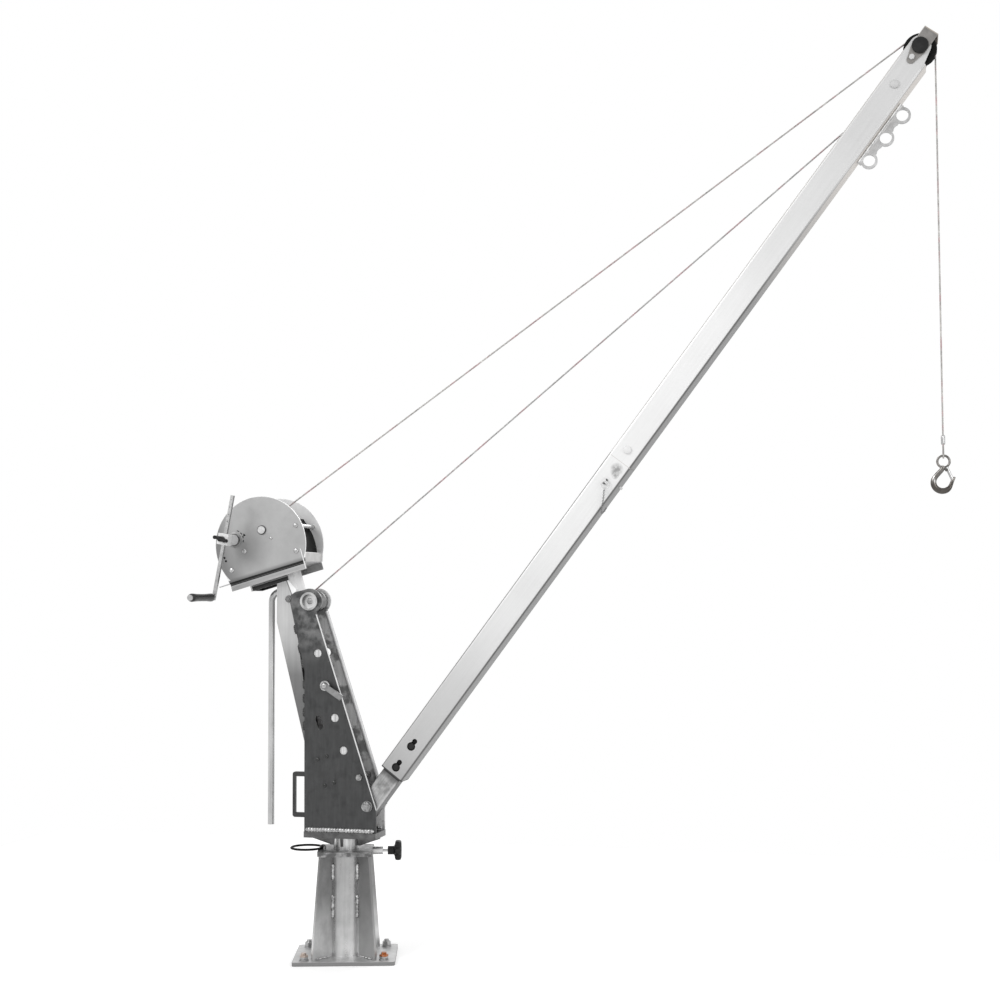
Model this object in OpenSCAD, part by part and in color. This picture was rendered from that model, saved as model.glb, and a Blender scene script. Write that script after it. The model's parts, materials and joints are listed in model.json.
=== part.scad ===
// Swivelling davit crane with hand winch, luffing boom and sling hook.
// World frame: Z up, slewing axis on X = 0, Y = 0, boom toward +X, crank side toward -Y, floor at Z = 0.

/* [Foot] */
// base plate length
base_l = 308; // [240:4:400]
// base plate width
base_w = 247; // [200:1:340]
// base plate thickness
base_t = 12; // [8:1:20]
// foot tube outside diameter
foot_od = 114.3; // [100:0.1:140]
// foot tube wall
foot_wall = 5; // [3:0.5:8]
// height of the underside of the top flange
flange_z = 315; // [250:5:450]
// top flange thickness
flange_t = 14; // [12:1:20]
// top flange square size
flange_s = 166; // [150:2:190]
// foot heading against the boom
foot_yaw = 15.7; // [0:0.1:45]

/* [Mast] */
// spigot outside diameter
spigot_od = 76; // [60:1:84]
// underside of the mast floor
floor_z = 365; // [360:1:520]
// mast floor thickness
floor_t = 18; // [10:1:24]
// mast side plate thickness
mast_t = 6; // [4:0.5:8]
// clear gap between the mast side plates
mast_gap = 76; // [70:1:90]
// locking hole diameter
lock_d = 26; // [20:1:30]
// locking hole pitch
lock_pitch = 102.5; // [80:0.5:105]

/* [Boom] */
// outer tube size
outer_s = 80; // [76:1:84]
// outer tube wall
outer_t = 4; // [3:0.5:5]
// inner tube size
inner_s = 62; // [56:1:64]
// boom angle at rest
boom_ang = 52.8; // [45:0.1:60]
// pivot to head sheave
boom_l = 2763; // [2300:1:3000]
// pivot to the joint between the two outer tubes
joint_s = 1297; // [1000:1:1500]
// head sheave outside diameter
sheave_d = 95; // [80:1:104]

/* [Winch] */
// winch side plate radius
winch_r = 150; // [140:1:160]
// winch side plate thickness
winch_t = 3; // [2:0.5:5]
// outside width over the winch plates
winch_w = 154; // [140:1:170]
// tray slope
tray_ang = 15.9; // [5:0.1:25]
// tray length
tray_l = 253; // [240:1:280]
// drum core diameter
drum_d = 43.4; // [36:0.2:54]
// crank arm length
arm_l = 326; // [280:1:400]
// grip diameter
grip_d = 25; // [20:1:32]

/* [Rope] */
// wire rope diameter
rope_d = 5; // [4:0.5:6]
// bottom of the fall rope
fall_z = 1551; // [900:1:2000]

/* [Clearances] */
// running fit, radial
run_fit = 0.05; // [0.02:0.01:0.1]
// loose fit, radial
loose_fit = 0.5; // [0.3:0.1:1]

/* [Hidden] */
$fn = 48;
mast_h = mast_gap / 2;
mast_o = mast_h + mast_t;
piv_x = 82.3;
piv_z = 464;
flange_top = flange_z + flange_t;
plate_z0 = floor_z + floor_t;
boss_x = -105.3;
boss_z = 1086.4;
lock_a = -74.1;
lock_x = -50.4;
lock_z = 827.8;
tray_x = -347.4;
tray_z = 1117;
tray_h = 25;
tray_t = 3;
circ_x = 129.1;
circ_z = tray_h + 89;
axle_x = 145.6;
axle_z = 156.3;
gear_m = 3;
gear_n = 52;
pin_n = 12;
gear_c = gear_m * (gear_n + pin_n) / 2;
crank_x = axle_x - gear_c;
crank_z = axle_z - 4;
wy = winch_w / 2;
wi = wy - winch_t;
axle_wx = tray_x + axle_x * cos(tray_ang) - axle_z * sin(tray_ang);
axle_wz = tray_z + axle_x * sin(tray_ang) + axle_z * cos(tray_ang);
crank_wx = tray_x + crank_x * cos(tray_ang) - crank_z * sin(tray_ang);
crank_wz = tray_z + crank_x * sin(tray_ang) + crank_z * cos(tray_ang);
coil_r = (drum_d + rope_d) / 2 + 0.3;
lead_r = coil_r + rope_d + 0.3;
head_off = 6;
head_x = piv_x + boom_l * cos(boom_ang) - head_off * sin(boom_ang);
head_z = piv_z + boom_l * sin(boom_ang) + head_off * cos(boom_ang);
groove_r = sheave_d / 2 - 8;
head_r = groove_r + rope_d / 2 + 0.3;
anchor_s = boom_l - 128;
anchor_x = piv_x + anchor_s * cos(boom_ang);
anchor_z = piv_z + anchor_s * sin(boom_ang);
roller_r = 22;
luff_r = roller_r + rope_d / 2 + 0.3;
h_dx = head_x - axle_wx;
h_dz = head_z - axle_wz;
h_len0 = sqrt(h_dx * h_dx + h_dz * h_dz);
h_ang = atan2(h_dz, h_dx) - asin((lead_r - head_r) / h_len0);
h_sx = axle_wx - lead_r * sin(h_ang);
h_sz = axle_wz + lead_r * cos(h_ang);
h_ex = head_x - head_r * sin(h_ang);
h_ez = head_z + head_r * cos(h_ang);
eye_r = 14;
l_dx = anchor_x - boss_x;
l_dz = anchor_z - boss_z;
l_len0 = sqrt(l_dx * l_dx + l_dz * l_dz);
l_ang = atan2(l_dz, l_dx) - asin(luff_r / l_len0);
l_sx = boss_x - luff_r * sin(l_ang);
l_sz = boss_z + luff_r * cos(l_ang);
l_len = l_len0 * cos(asin(luff_r / l_len0));
p_dx = lock_x - boss_x;
p_dz = lock_z - boss_z;
p_len0 = sqrt(p_dx * p_dx + p_dz * p_dz);
p_ang = atan2(p_dz, p_dx) + asin(luff_r / p_len0);
mast_edge_top = [-84.2, 1050.3];
far_lip = 10;

// axis helpers
module ycyl(x, z, y0, y1, d, fn = 48) {
  translate([x, y1, z]) rotate([90, 0, 0]) cylinder(h = y1 - y0, d = d, $fn = fn);
}
module ycone(x, z, y0, y1, da, db, fn = 48) {
  translate([x, y1, z]) rotate([90, 0, 0]) cylinder(h = y1 - y0, d1 = db, d2 = da, $fn = fn);
}
module yplate(y0, y1) {
  translate([0, y1, 0]) rotate([90, 0, 0]) linear_extrude(y1 - y0) children();
}
module in_foot() {
  rotate([0, 0, foot_yaw]) children();
}
module in_boom() {
  translate([piv_x, 0, piv_z]) rotate([0, -boom_ang, 0]) children();
}
module in_tray() {
  translate([tray_x, 0, tray_z]) rotate([0, -tray_ang, 0]) children();
}
module rbox(x0, x1, y0, y1, z0, z1) {
  translate([x0, y0, z0]) cube([x1 - x0, y1 - y0, z1 - z0]);
}
module bead(p, q, r) {
  d = q - p;
  l = norm(d);
  translate(p) rotate([0, acos(d[2] / l), atan2(d[1], d[0])]) {
    cylinder(h = l, r = r, $fn = 14);
  }
}
module round_sq(s, w, r) {
  union() {
    square([s - 2 * r, w], center = true);
    square([s, w - 2 * r], center = true);
    for (i = [-1, 1], j = [-1, 1]) translate([i * (s / 2 - r), j * (w / 2 - r)]) circle(r, $fn = 32);
  }
}

// foot
bolt_x = base_l / 2 - 34;
bolt_y = base_w / 2 - 32;
bolt_gap = 15.7;
gusset_l = norm([bolt_x, bolt_y]) - bolt_gap;
tube_r = foot_od / 2;
module base_plate() {
  color([0.62, 0.62, 0.62]) difference() {
    in_foot() linear_extrude(base_t) round_sq(base_l, base_w, 10);
    in_foot() for (i = [-1, 1], j = [-1, 1])
      translate([i * bolt_x, j * bolt_y, -1]) cylinder(h = base_t + 2, d = 18, $fn = 32);
  }
}
module foot_tube() {
  color([0.6, 0.6, 0.6]) translate([0, 0, base_t]) difference() {
    cylinder(h = flange_z - base_t, d = foot_od, $fn = 96);
    translate([0, 0, -1]) cylinder(h = flange_z - base_t + 2, d = foot_od - 2 * foot_wall, $fn = 96);
  }
}
module foot_gussets() {
  color([0.58, 0.58, 0.58]) in_foot() for (a = [45, 135, 225, 315]) rotate([0, 0, a]) yplate(-4, 4)
    polygon([[tube_r, base_t + 12], [tube_r + 12, base_t], [gusset_l, base_t], [gusset_l, base_t + 16],
      [106, flange_z], [tube_r, flange_z]]);
}
clamp_z = flange_z + flange_t / 2;
eye_x = -flange_s / 2 + 12;
module foot_flange() {
  color([0.6, 0.6, 0.6]) difference() {
    in_foot() union() {
      translate([0, 0, flange_z]) linear_extrude(flange_t) round_sq(flange_s, flange_s, 16);
      translate([flange_s / 2 - 1, 0, clamp_z]) rotate([0, 90, 0]) cylinder(h = 31, d = 24, $fn = 48);
      translate([eye_x, 0, flange_top + 2.5]) rotate([90, 0, 0]) rotate_extrude($fn = 48)
        translate([8, 0]) circle(2.5, $fn = 20);
    }
    translate([0, 0, flange_z - 1]) cylinder(h = flange_t + 2, d = spigot_od + 2, $fn = 96);
    in_foot() translate([0, 0, clamp_z]) rotate([0, 90, 0])
      cylinder(h = flange_s, d = 8 + 2 * loose_fit, $fn = 32);
  }
}
fw = 2.6;
module foot_welds() {
  fx = sqrt((tube_r + fw) * (tube_r + fw) - (4 + fw) * (4 + fw));
  color([0.5, 0.5, 0.5]) in_foot() for (a = [45, 135, 225, 315]) rotate([0, 0, a]) for (s = [-1, 1]) {
    bead([fx, s * (4 + fw), 216], [fx, s * (4 + fw), 272], fw);
    bead([fx, s * (4 + fw), 112], [fx, s * (4 + fw), 176], fw);
    bead([tube_r + 18, s * (4 + fw), base_t + fw], [124, s * (4 + fw), base_t + fw], fw);
  }
}
module anchor_bolts() {
  color([0.72, 0.72, 0.7]) in_foot() for (i = [-1, 1], j = [-1, 1]) translate([i * bolt_x, j * bolt_y, 0]) {
    cylinder(h = base_t + 22, d = 16, $fn = 32);
    translate([0, 0, base_t]) cylinder(h = 3, d = 30, $fn = 32);
    translate([0, 0, base_t + 3]) cylinder(h = 13, d = 27.7, $fn = 6);
  }
}
module foot_bushes() {
  color([0.2, 0.2, 0.22]) for (z = [base_t + 40, flange_z - 50]) translate([0, 0, z]) difference() {
    cylinder(h = 50, d = foot_od - 2 * foot_wall, $fn = 96);
    translate([0, 0, -1]) cylinder(h = 52, r = spigot_od / 2 + run_fit, $fn = 96);
  }
}
module thrust_block() {
  color([0.2, 0.2, 0.22]) translate([0, 0, base_t]) cylinder(h = 40, d = spigot_od, $fn = 64);
}
ring_r = 48;
ring_w = 3.4;
module lashing_ring() {
  color([0.06, 0.06, 0.06]) in_foot() translate([eye_x - 0.5 - ring_r, 0, flange_top + 0.3 + ring_w])
    rotate_extrude($fn = 64) translate([ring_r, 0]) circle(ring_w, $fn = 16);
}
module clamp_screw() {
  color([0.7, 0.7, 0.7]) in_foot() translate([spigot_od / 2 + 0.6, 0, clamp_z]) rotate([0, 90, 0])
    cylinder(h = 104, d = 8, $fn = 32);
}
module star_knob() {
  color([0.05, 0.05, 0.05]) in_foot() translate([128, 0, clamp_z]) rotate([0, 90, 0]) difference() {
    union() {
      cylinder(h = 26, d = 26, $fn = 48);
      translate([0, 0, 22]) linear_extrude(20) difference() {
        circle(31.5, $fn = 72);
        for (a = [0:60:300]) rotate(a + 30) translate([34, 0]) circle(9.5, $fn = 32);
      }
    }
    translate([0, 0, -1]) cylinder(h = 15.6, d = 8, $fn = 32);
  }
}

// mast
module spigot() {
  color([0.45, 0.45, 0.46]) translate([0, 0, base_t + 40.3]) difference() {
    cylinder(h = floor_z - base_t - 40.3, d = spigot_od, $fn = 96);
    translate([0, 0, 8]) cylinder(h = floor_z, d = spigot_od - 10, $fn = 96);
  }
}
module mast_floor() {
  color([0.42, 0.42, 0.43]) translate([0, 0, floor_z]) linear_extrude(floor_t)
    polygon([[-120, -mast_o - 5], [111, -mast_o - 5], [111, mast_o + 5], [-120, mast_o + 5]]);
}
module mast_gussets() {
  g0 = spigot_od / 2;
  color([0.42, 0.42, 0.43]) for (a = [0, 180]) rotate([0, 0, a]) yplate(-4, 4)
    polygon([[g0, floor_z - 26], [g0 + 8, floor_z - 26], [a == 0 ? 109 : 118, floor_z - 4],
      [a == 0 ? 109 : 118, floor_z], [g0, floor_z]]);
  color([0.42, 0.42, 0.43]) for (a = [90, 270]) rotate([0, 0, a]) yplate(-4, 4)
    polygon([[g0, floor_z - 26], [g0 + 1, floor_z - 26], [g0 + 7, floor_z], [g0, floor_z]]);
}
module mast_side(lip = 0) {
  difference() {
    union() {
      polygon([[-120, plate_z0], [111, plate_z0], [111, 450], [109 + lip, 463.4], mast_edge_top + [lip, 0], [-90, 1090],
        [-105.3, 1125.4], [-152, 1115], [-166, 1106], [-168.5, 1080], [-120.8, 872]]);
      translate([boss_x, boss_z]) circle(39, $fn = 72);
    }
    translate([-72.3, 715.1]) rotate(lock_a) {
      translate([-12, 0]) circle(10, $fn = 32);
      translate([12, 0]) circle(10, $fn = 32);
      square([24, 20], center = true);
    }
  }
}
module mast_holes() {
  for (k = [-1, 0, 1, 2]) ycyl(lock_x + k * lock_pitch * cos(lock_a), lock_z + k * lock_pitch * sin(lock_a),
    -mast_o - 1, mast_o + 1, lock_d);
  ycyl(boss_x, boss_z, -mast_o - 1, mast_o + 1, 56);
  ycyl(piv_x, piv_z, -mast_o - 1, mast_o + 1, 20);
  ycyl(57.9, 550.7, -mast_o - 1, mast_o + 1, 12);
}
module mast_plate_near() {
  color([0.36, 0.36, 0.37]) difference() {
    yplate(-mast_o, -mast_h) mast_side();
    mast_holes();
    for (p = screw_pts) ycyl(p[0], p[1], -mast_o - 1, -mast_h + 1, 6);
  }
}
module mast_plate_far() {
  color([0.4, 0.4, 0.41]) difference() {
    yplate(mast_h, mast_o) mast_side(far_lip);
    mast_holes();
  }
}
screw_pts = [[-76.9, 602.6], [-47.3, 612.7], [-53.6, 523.9], [-23.1, 533.8]];
sp_t = 4;
head_drop = 13;
head_end = 173;
function tray_pt(x, z) = [tray_x + x * cos(tray_ang) - z * sin(tray_ang), tray_z + x * sin(tray_ang) + z * cos(tray_ang)];
module mast_spine() {
  color([0.75, 0.75, 0.75]) union() {
    yplate(-mast_h, mast_h) polygon([[-120, plate_z0], [-120 + sp_t, plate_z0], [-120 + sp_t, 646],
      [-215 + sp_t, 1023], [-215 + sp_t, 1122], [-215, 1122], [-215, 1022], [-120, 645]]);
    for (s = [-1, 1]) yplate(s > 0 ? mast_h - sp_t : -mast_h, s > 0 ? mast_h : -mast_h + sp_t)
      polygon([[-120, 645], [-98, 645], [-150, 1000], [-150, 1122], tray_pt(head_end, -head_drop), tray_pt(134, -head_drop), [-215, 1022]]);
  }
}
mw = 2.6;
function edge_x(z) = z < 872 ? -120 - 0.8 * (z - plate_z0) / 489 : -120.8 - 47.7 * (z - 872) / 208;
module mast_welds() {
  color([0.33, 0.33, 0.33]) union() {
    for (s = [-1, 1]) bead([-116, s * (mast_o + 3.2), plate_z0 + 3.2], [107, s * (mast_o + 3.2), plate_z0 + 3.2], 3);
    for (z = [690, 732, 774, 816, 880, 925, 985], s = [-1, 1])
      bead([edge_x(z) - mw - 0.15, s * (mast_h + mw), z], [edge_x(z + 28) - mw - 0.15, s * (mast_h + mw), z + 28], mw);
  }
}
module top_tube() {
  color([0.66, 0.66, 0.66]) difference() {
    union() {
      ycyl(boss_x, boss_z, -mast_o - 8, -mast_h, 56, 64);
      ycyl(boss_x, boss_z, mast_h, mast_o + 8, 56, 64);
      ycyl(boss_x, boss_z, -mast_h, mast_h, 30, 64);
    }
    ycyl(boss_x, boss_z, -mast_o - 9, -mast_h - 2, 43, 64);
    ycyl(boss_x, boss_z, mast_h + 2, mast_o + 9, 43, 64);
    ycyl(boss_x, boss_z, -mast_o - 9, mast_o + 9, 20, 64);
  }
}
module luff_roller() {
  color([0.12, 0.12, 0.12]) difference() {
    translate([boss_x, 0, boss_z]) rotate([90, 0, 0]) rotate_extrude($fn = 72)
      polygon([[15 + run_fit, -34], [32, -34], [32, -12], [roller_r + 2.6, -3.4], [roller_r, -2.6], [roller_r, 2.6],
        [roller_r + 2.6, 3.4], [32, 12], [32, 34], [15 + run_fit, 34]]);
  }
}
module carry_handle() {
  color([0.3, 0.3, 0.3]) yplate(-6, 6) difference() {
    union() {
      translate([-166, 420]) square([46, 139]);
      translate([-173.6, 427.6]) square([50, 124]);
      for (z = [427.6, 551.4]) translate([-166, z]) circle(7.6, $fn = 32);
    }
    translate([-165, 434]) square([60, 111]);
  }
}
rod_x = -247;
module push_rod() {
  color([0.72, 0.72, 0.72]) union() {
    translate([rod_x, 0, 395]) cylinder(h = 1085 - 395, d = 20, $fn = 32);
    translate([rod_x + 32 - 10 + 10, 0, 1085]) rotate([90, 0, 0]) rotate([0, 0, 90])
      rotate_extrude(angle = 90, $fn = 64) translate([32, 0]) circle(10, $fn = 32);
  }
}
module mast_bolts() {
  color([0.6, 0.6, 0.6]) union() {
    ycyl(piv_x, piv_z, -mast_o - 3, mast_o + 3, 20, 64);
    for (s = [-1, 1]) {
      ycyl(piv_x, piv_z, s > 0 ? mast_o : -mast_o - 3, s > 0 ? mast_o + 3 : -mast_o, 34);
      ycyl(piv_x, piv_z, s > 0 ? mast_o + 3 : -mast_o - 13, s > 0 ? mast_o + 13 : -mast_o - 3, 31, 6);
      ycyl(57.9, 550.7, s > 0 ? mast_o : -mast_o - 8, s > 0 ? mast_o + 8 : -mast_o, 21, 6);
    }
    ycyl(57.9, 550.7, -mast_o - 1, mast_o + 1, 12);
    ycyl(57.9, 550.7, -mast_h, mast_h, 22);
    for (s = [-1, 1]) ycyl(piv_x, piv_z, s > 0 ? ih + 0.3 : -mast_h, s > 0 ? mast_h : -ih - 0.3, 40);
    for (p = screw_pts) {
      ycyl(p[0], p[1], -mast_o - 4, -mast_h + 3, 6, 24);
      ycyl(p[0], p[1], -mast_h, -mast_h + 5, 11, 6);
    }
  }
}
module lock_pin() {
  color([0.7, 0.7, 0.7]) union() {
    ycyl(lock_x, lock_z, -mast_o - 14, mast_o + 12, lock_d - 1);
    ycyl(lock_x, lock_z, -mast_o - 14, -mast_o - 0.3, 31);
    ycyl(lock_x, lock_z, -mast_o - 18.4, -mast_o - 14, 8 - 2 * run_fit, 32);
    ycyl(lock_x, lock_z, -mast_o - 21, -mast_o - 18.4, 14, 32);
  }
}
module pin_tag() {
  color([0.62, 0.62, 0.62]) difference() {
    translate([lock_x, -mast_o - 14, lock_z]) rotate([0, 33, 0]) translate([-9, -4.2, -9]) cube([76, 4, 18]);
    ycyl(lock_x, lock_z, -mast_o - 20, -mast_o - 10, 8);
  }
}

// winch
module winch_post() {
  color([0.85, 0.85, 0.85]) in_tray() difference() {
    rbox(164, 194, -mast_h + sp_t, mast_h - sp_t, -62, tray_h - tray_t);
    rbox(167, 191, -mast_h + sp_t + 3, mast_h - sp_t - 3, -63, tray_h - tray_t + 1);
  }
}
module winch_tray() {
  color([0.62, 0.62, 0.62]) in_tray() union() {
    difference() {
      rbox(0, tray_l, -wy, wy, 0, tray_h);
      rbox(-1, tray_l + 1, -wy + tray_t, wy - tray_t, -1, tray_h - tray_t);
    }
    for (s = [-1, 1]) rbox(51, head_end, s > 0 ? mast_h - sp_t : -mast_h, s > 0 ? mast_h : -mast_h + sp_t, -head_drop, tray_h - tray_t);
    rbox(51, 51 + sp_t, -mast_h, mast_h, -head_drop, tray_h - tray_t);
    translate([-45, -wy + 17, tray_h + 1.8]) rotate([0, 90, 0]) cylinder(h = 60, d = 4, $fn = 24);
  }
}
tie_pts = [[16, 64], [237, 62], [256, 138]];
piv_pt = [72.6, 108.9];
module winch_shape() {
  difference() {
    union() {
      difference() {
        translate([circ_x, circ_z]) circle(winch_r, $fn = 120);
        translate([-100, tray_h - 100]) square([500, 100]);
      }
      polygon([[circ_x - 148.4, 92], [-1, tray_h], [257, tray_h], [circ_x + 148.4, 92]]);
    }
    translate([axle_x, axle_z]) circle(12, $fn = 64);
    for (p = tie_pts) translate(p) circle(4, $fn = 24);
  }
}
module winch_plate_near() {
  color([0.66, 0.66, 0.66]) in_tray() yplate(-wy, -wi) difference() {
    winch_shape();
    translate([crank_x, crank_z]) circle(10 + run_fit, $fn = 64);
    translate(piv_pt) circle(4, $fn = 24);
    for (p = [[3, 108], [5, 97]]) translate(p) circle(2.5, $fn = 24);
    translate([168, 123.2]) circle(2.5, $fn = 24);
  }
}
module winch_plate_far() {
  color([0.6, 0.6, 0.6]) in_tray() yplate(wi, wy) difference() {
    winch_shape();
    translate([crank_x, crank_z]) circle(10 + run_fit, $fn = 64);
  }
}
module winch_ties() {
  color([0.72, 0.72, 0.72]) in_tray() union() {
    for (p = tie_pts) {
      ycyl(p[0], p[1], -wi, wi, 14, 32);
      ycyl(p[0], p[1], -wy - 1, wy + 1, 8, 24);
      ycyl(p[0], p[1], -wy - 4, -wy, 15, 32);
      ycyl(p[0], p[1], wy, wy + 6, 13, 6);
    }
    ycyl(168, 123.2, -wy - 3, -wi, 5, 24);
    ycyl(168, 123.2, -wy - 3, -wy, 9, 32);
    ycyl(piv_pt[0], piv_pt[1], -wy - 1, -40, 8, 32);
    ycyl(piv_pt[0], piv_pt[1], -wy - 4, -wy, 15, 32);
  }
}
module winch_front() {
  color([0.1, 0.1, 0.1]) in_tray() union() {
    rbox(246, 250, -wi, wi, tray_h, 52);
    yplate(-wi, wi) translate([axle_x, axle_z]) difference() {
      circle(100, $fn = 160);
      circle(97, $fn = 160);
      rotate(-38) translate([-200, -300]) square([400, 300]);
      rotate(12) translate([-200, 0]) square([400, 300]);
      translate([-300, -200]) square([300, 400]);
    }
  }
}
module drum_axle() {
  color([0.7, 0.7, 0.7]) in_tray() union() {
    ycyl(axle_x, axle_z, -wy - 7, wy + 7, 24, 64);
    for (s = [-1, 1]) ycyl(axle_x, axle_z, s > 0 ? wy : -wy - 3, s > 0 ? wy + 3 : -wy, 29, 48);
  }
}
module drum() {
  color([0.55, 0.55, 0.55]) in_tray() difference() {
    union() {
      ycyl(axle_x, axle_z, -wi + 0.5, wi - 0.5, 40, 64);
      ycyl(axle_x, axle_z, -50, 66, drum_d, 96);
      ycyl(axle_x, axle_z, -54, -50, 116, 96);
      ycyl(axle_x, axle_z, 66, 70, 116, 96);
    }
    ycyl(axle_x, axle_z, -wy, wy, 24 + 2 * run_fit, 64);
  }
}
function rope_v(a) = [cos(a) * coil_r, sin(a) * coil_r];
coil_n = 10;
coil_p = rope_d + 0.5;
module drum_rope() {
  rings = coil_n * 24 + 1;
  a1 = h_ang - tray_ang + 90;
  pts = [for (i = [0:rings - 1]) let (t = i / 24, a = a1 + 360 * t, y = t * coil_p)
    for (j = [0:5]) let (b = j * 60 + 30, rr = coil_r + rope_d / 2 * cos(b))
      [cos(a) * rr, y + rope_d / 2 * sin(b), sin(a) * rr]];
  faces = concat([[for (j = [0:5]) j]], [[for (j = [5:-1:0]) (rings - 1) * 6 + j]],
    [for (i = [0:rings - 2], j = [0:5]) let (a = i * 6 + j, b = i * 6 + (j + 1) % 6)
      [a, a + 6, b + 6, b]]);
  color([0.45, 0.42, 0.4]) in_tray() translate([axle_x, 0, axle_z]) polyhedron(pts, faces, convexity = 12);
  echo(coil_gap = coil_p - rope_d, coil_loops = coil_n);
}
module gear2d(n, m, ph) {
  rp = n * m / 2;
  union() {
    circle(rp - 1.15 * m, $fn = 4 * n);
    for (i = [0:n - 1]) rotate(ph + 360 * i / n)
      polygon([[rp - 1.5 * m, 0.78 * m], [rp - 1.15 * m, 0.78 * m], [rp, 0.56 * m], [rp + 0.8 * m, 0.3 * m],
        [rp + 0.8 * m, -0.3 * m], [rp, -0.56 * m], [rp - 1.15 * m, -0.78 * m], [rp - 1.5 * m, -0.78 * m]]);
  }
}
mesh_a = atan2(crank_z - axle_z, crank_x - axle_x);
module drum_gear() {
  color([0.35, 0.35, 0.36]) in_tray() difference() {
    union() {
      yplate(-70, -58) translate([axle_x, axle_z]) gear2d(gear_n, gear_m, mesh_a + 180 / gear_n);
      ycyl(axle_x, axle_z, -58, -54, 60, 64);
    }
    ycyl(axle_x, axle_z, -71, -53, 40, 64);
  }
}
arm_a = 79.1;
arm_s = 10;
module crank_shaft() {
  color([0.66, 0.66, 0.66]) in_tray() union() {
    ycyl(crank_x, crank_z, -136, wy + 8, 20, 64);
    ycyl(crank_x, crank_z, -136, -wy - 0.5, 33, 64);
    yplate(-71, -57) translate([crank_x, crank_z]) gear2d(pin_n, gear_m, mesh_a + 180);
    ycyl(crank_x, crank_z, wy + 0.5, wy + 4, 28, 48);
  }
  color([0.3, 0.3, 0.3]) translate([crank_wx, 0, crank_wz]) rotate([0, -arm_a, 0]) difference() {
    rbox(-17, 17, -166, -136, -17, 17);
    rbox(-18, 18, -150 - arm_s / 2 - 0.3, -150 + arm_s / 2 + 0.3, -arm_s / 2 - 0.3, arm_s / 2 + 0.3);
    translate([0, -150, 0]) rotate([90, 0, 0]) cylinder(h = 17, d = 8 + 2 * run_fit, $fn = 32);
  }
}
module ratchet_wheel() {
  color([0.5, 0.4, 0.25]) in_tray() difference() {
    yplate(-48, -42) translate([crank_x, crank_z]) union() {
      circle(29, $fn = 64);
      for (i = [0:15]) rotate(i * 22.5 + 5) polygon([[24, -6], [35, 0], [34, 1.5], [27, 7]]);
    }
    ycyl(crank_x, crank_z, -49, -41, 20, 64);
  }
}
module pawl() {
  color([0.4, 0.4, 0.4]) in_tray() difference() {
    yplate(-49.5, -41) translate(piv_pt) union() {
      circle(8, $fn = 48);
      rotate(77) polygon([[0, -8], [0, 8], [-1, 7], [10, 6.5], [17.5, 2], [10, -6]]);
    }
    ycyl(piv_pt[0], piv_pt[1], -52, -40, 8 + 2 * run_fit, 48);
  }
}
grip_s = -arm_l + 137 + 8;
grip_wx = crank_wx + grip_s * cos(arm_a);
grip_wz = crank_wz + grip_s * sin(arm_a);
module crank_arm() {
  color([0.7, 0.7, 0.7]) union() {
    translate([crank_wx, 0, crank_wz]) rotate([0, -arm_a, 0]) difference() {
      rbox(-arm_l + 137, 137, -150 - arm_s / 2, -150 + arm_s / 2, -arm_s / 2, arm_s / 2);
      for (k = [0:3]) translate([122 - 22 * k, -130, 0]) rotate([90, 0, 0]) cylinder(h = 40, d = 4, $fn = 24);
    }
    ycyl(grip_wx, grip_wz, -318, -148, 12, 48);
    ycyl(grip_wx, grip_wz, -165, -151, 14, 48);
    ycyl(grip_wx, grip_wz, -321, -315.5, 18, 48);
  }
}
module grip() {
  color([0.05, 0.05, 0.05]) difference() {
    union() {
      ycyl(grip_wx, grip_wz, -311, -170, grip_d, 64);
      ycone(grip_wx, grip_wz, -315, -311, grip_d - 4, grip_d, 64);
      ycone(grip_wx, grip_wz, -170, -165.5, grip_d, grip_d - 4, 64);
    }
    ycyl(grip_wx, grip_wz, -316, -164, 12 + 2 * run_fit, 48);
  }
}
module wing_screw() {
  color([0.05, 0.05, 0.05]) translate([crank_wx, 0, crank_wz]) union() {
    ycyl(0, 0, -172, -150.8 - arm_s / 2, 8, 32);
    ycyl(0, 0, -186, -166.4, 17, 48);
    rotate([0, 20, 0]) yplate(-192, -172) difference() {
      union() {
        square([32, 6], center = true);
        for (s = [-1, 1]) translate([s * 16, 0]) circle(5.6, $fn = 32);
      }
      for (s = [-1, 1]) translate([s * 60, 0]) circle(1, $fn = 16);
    }
  }
}

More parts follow.
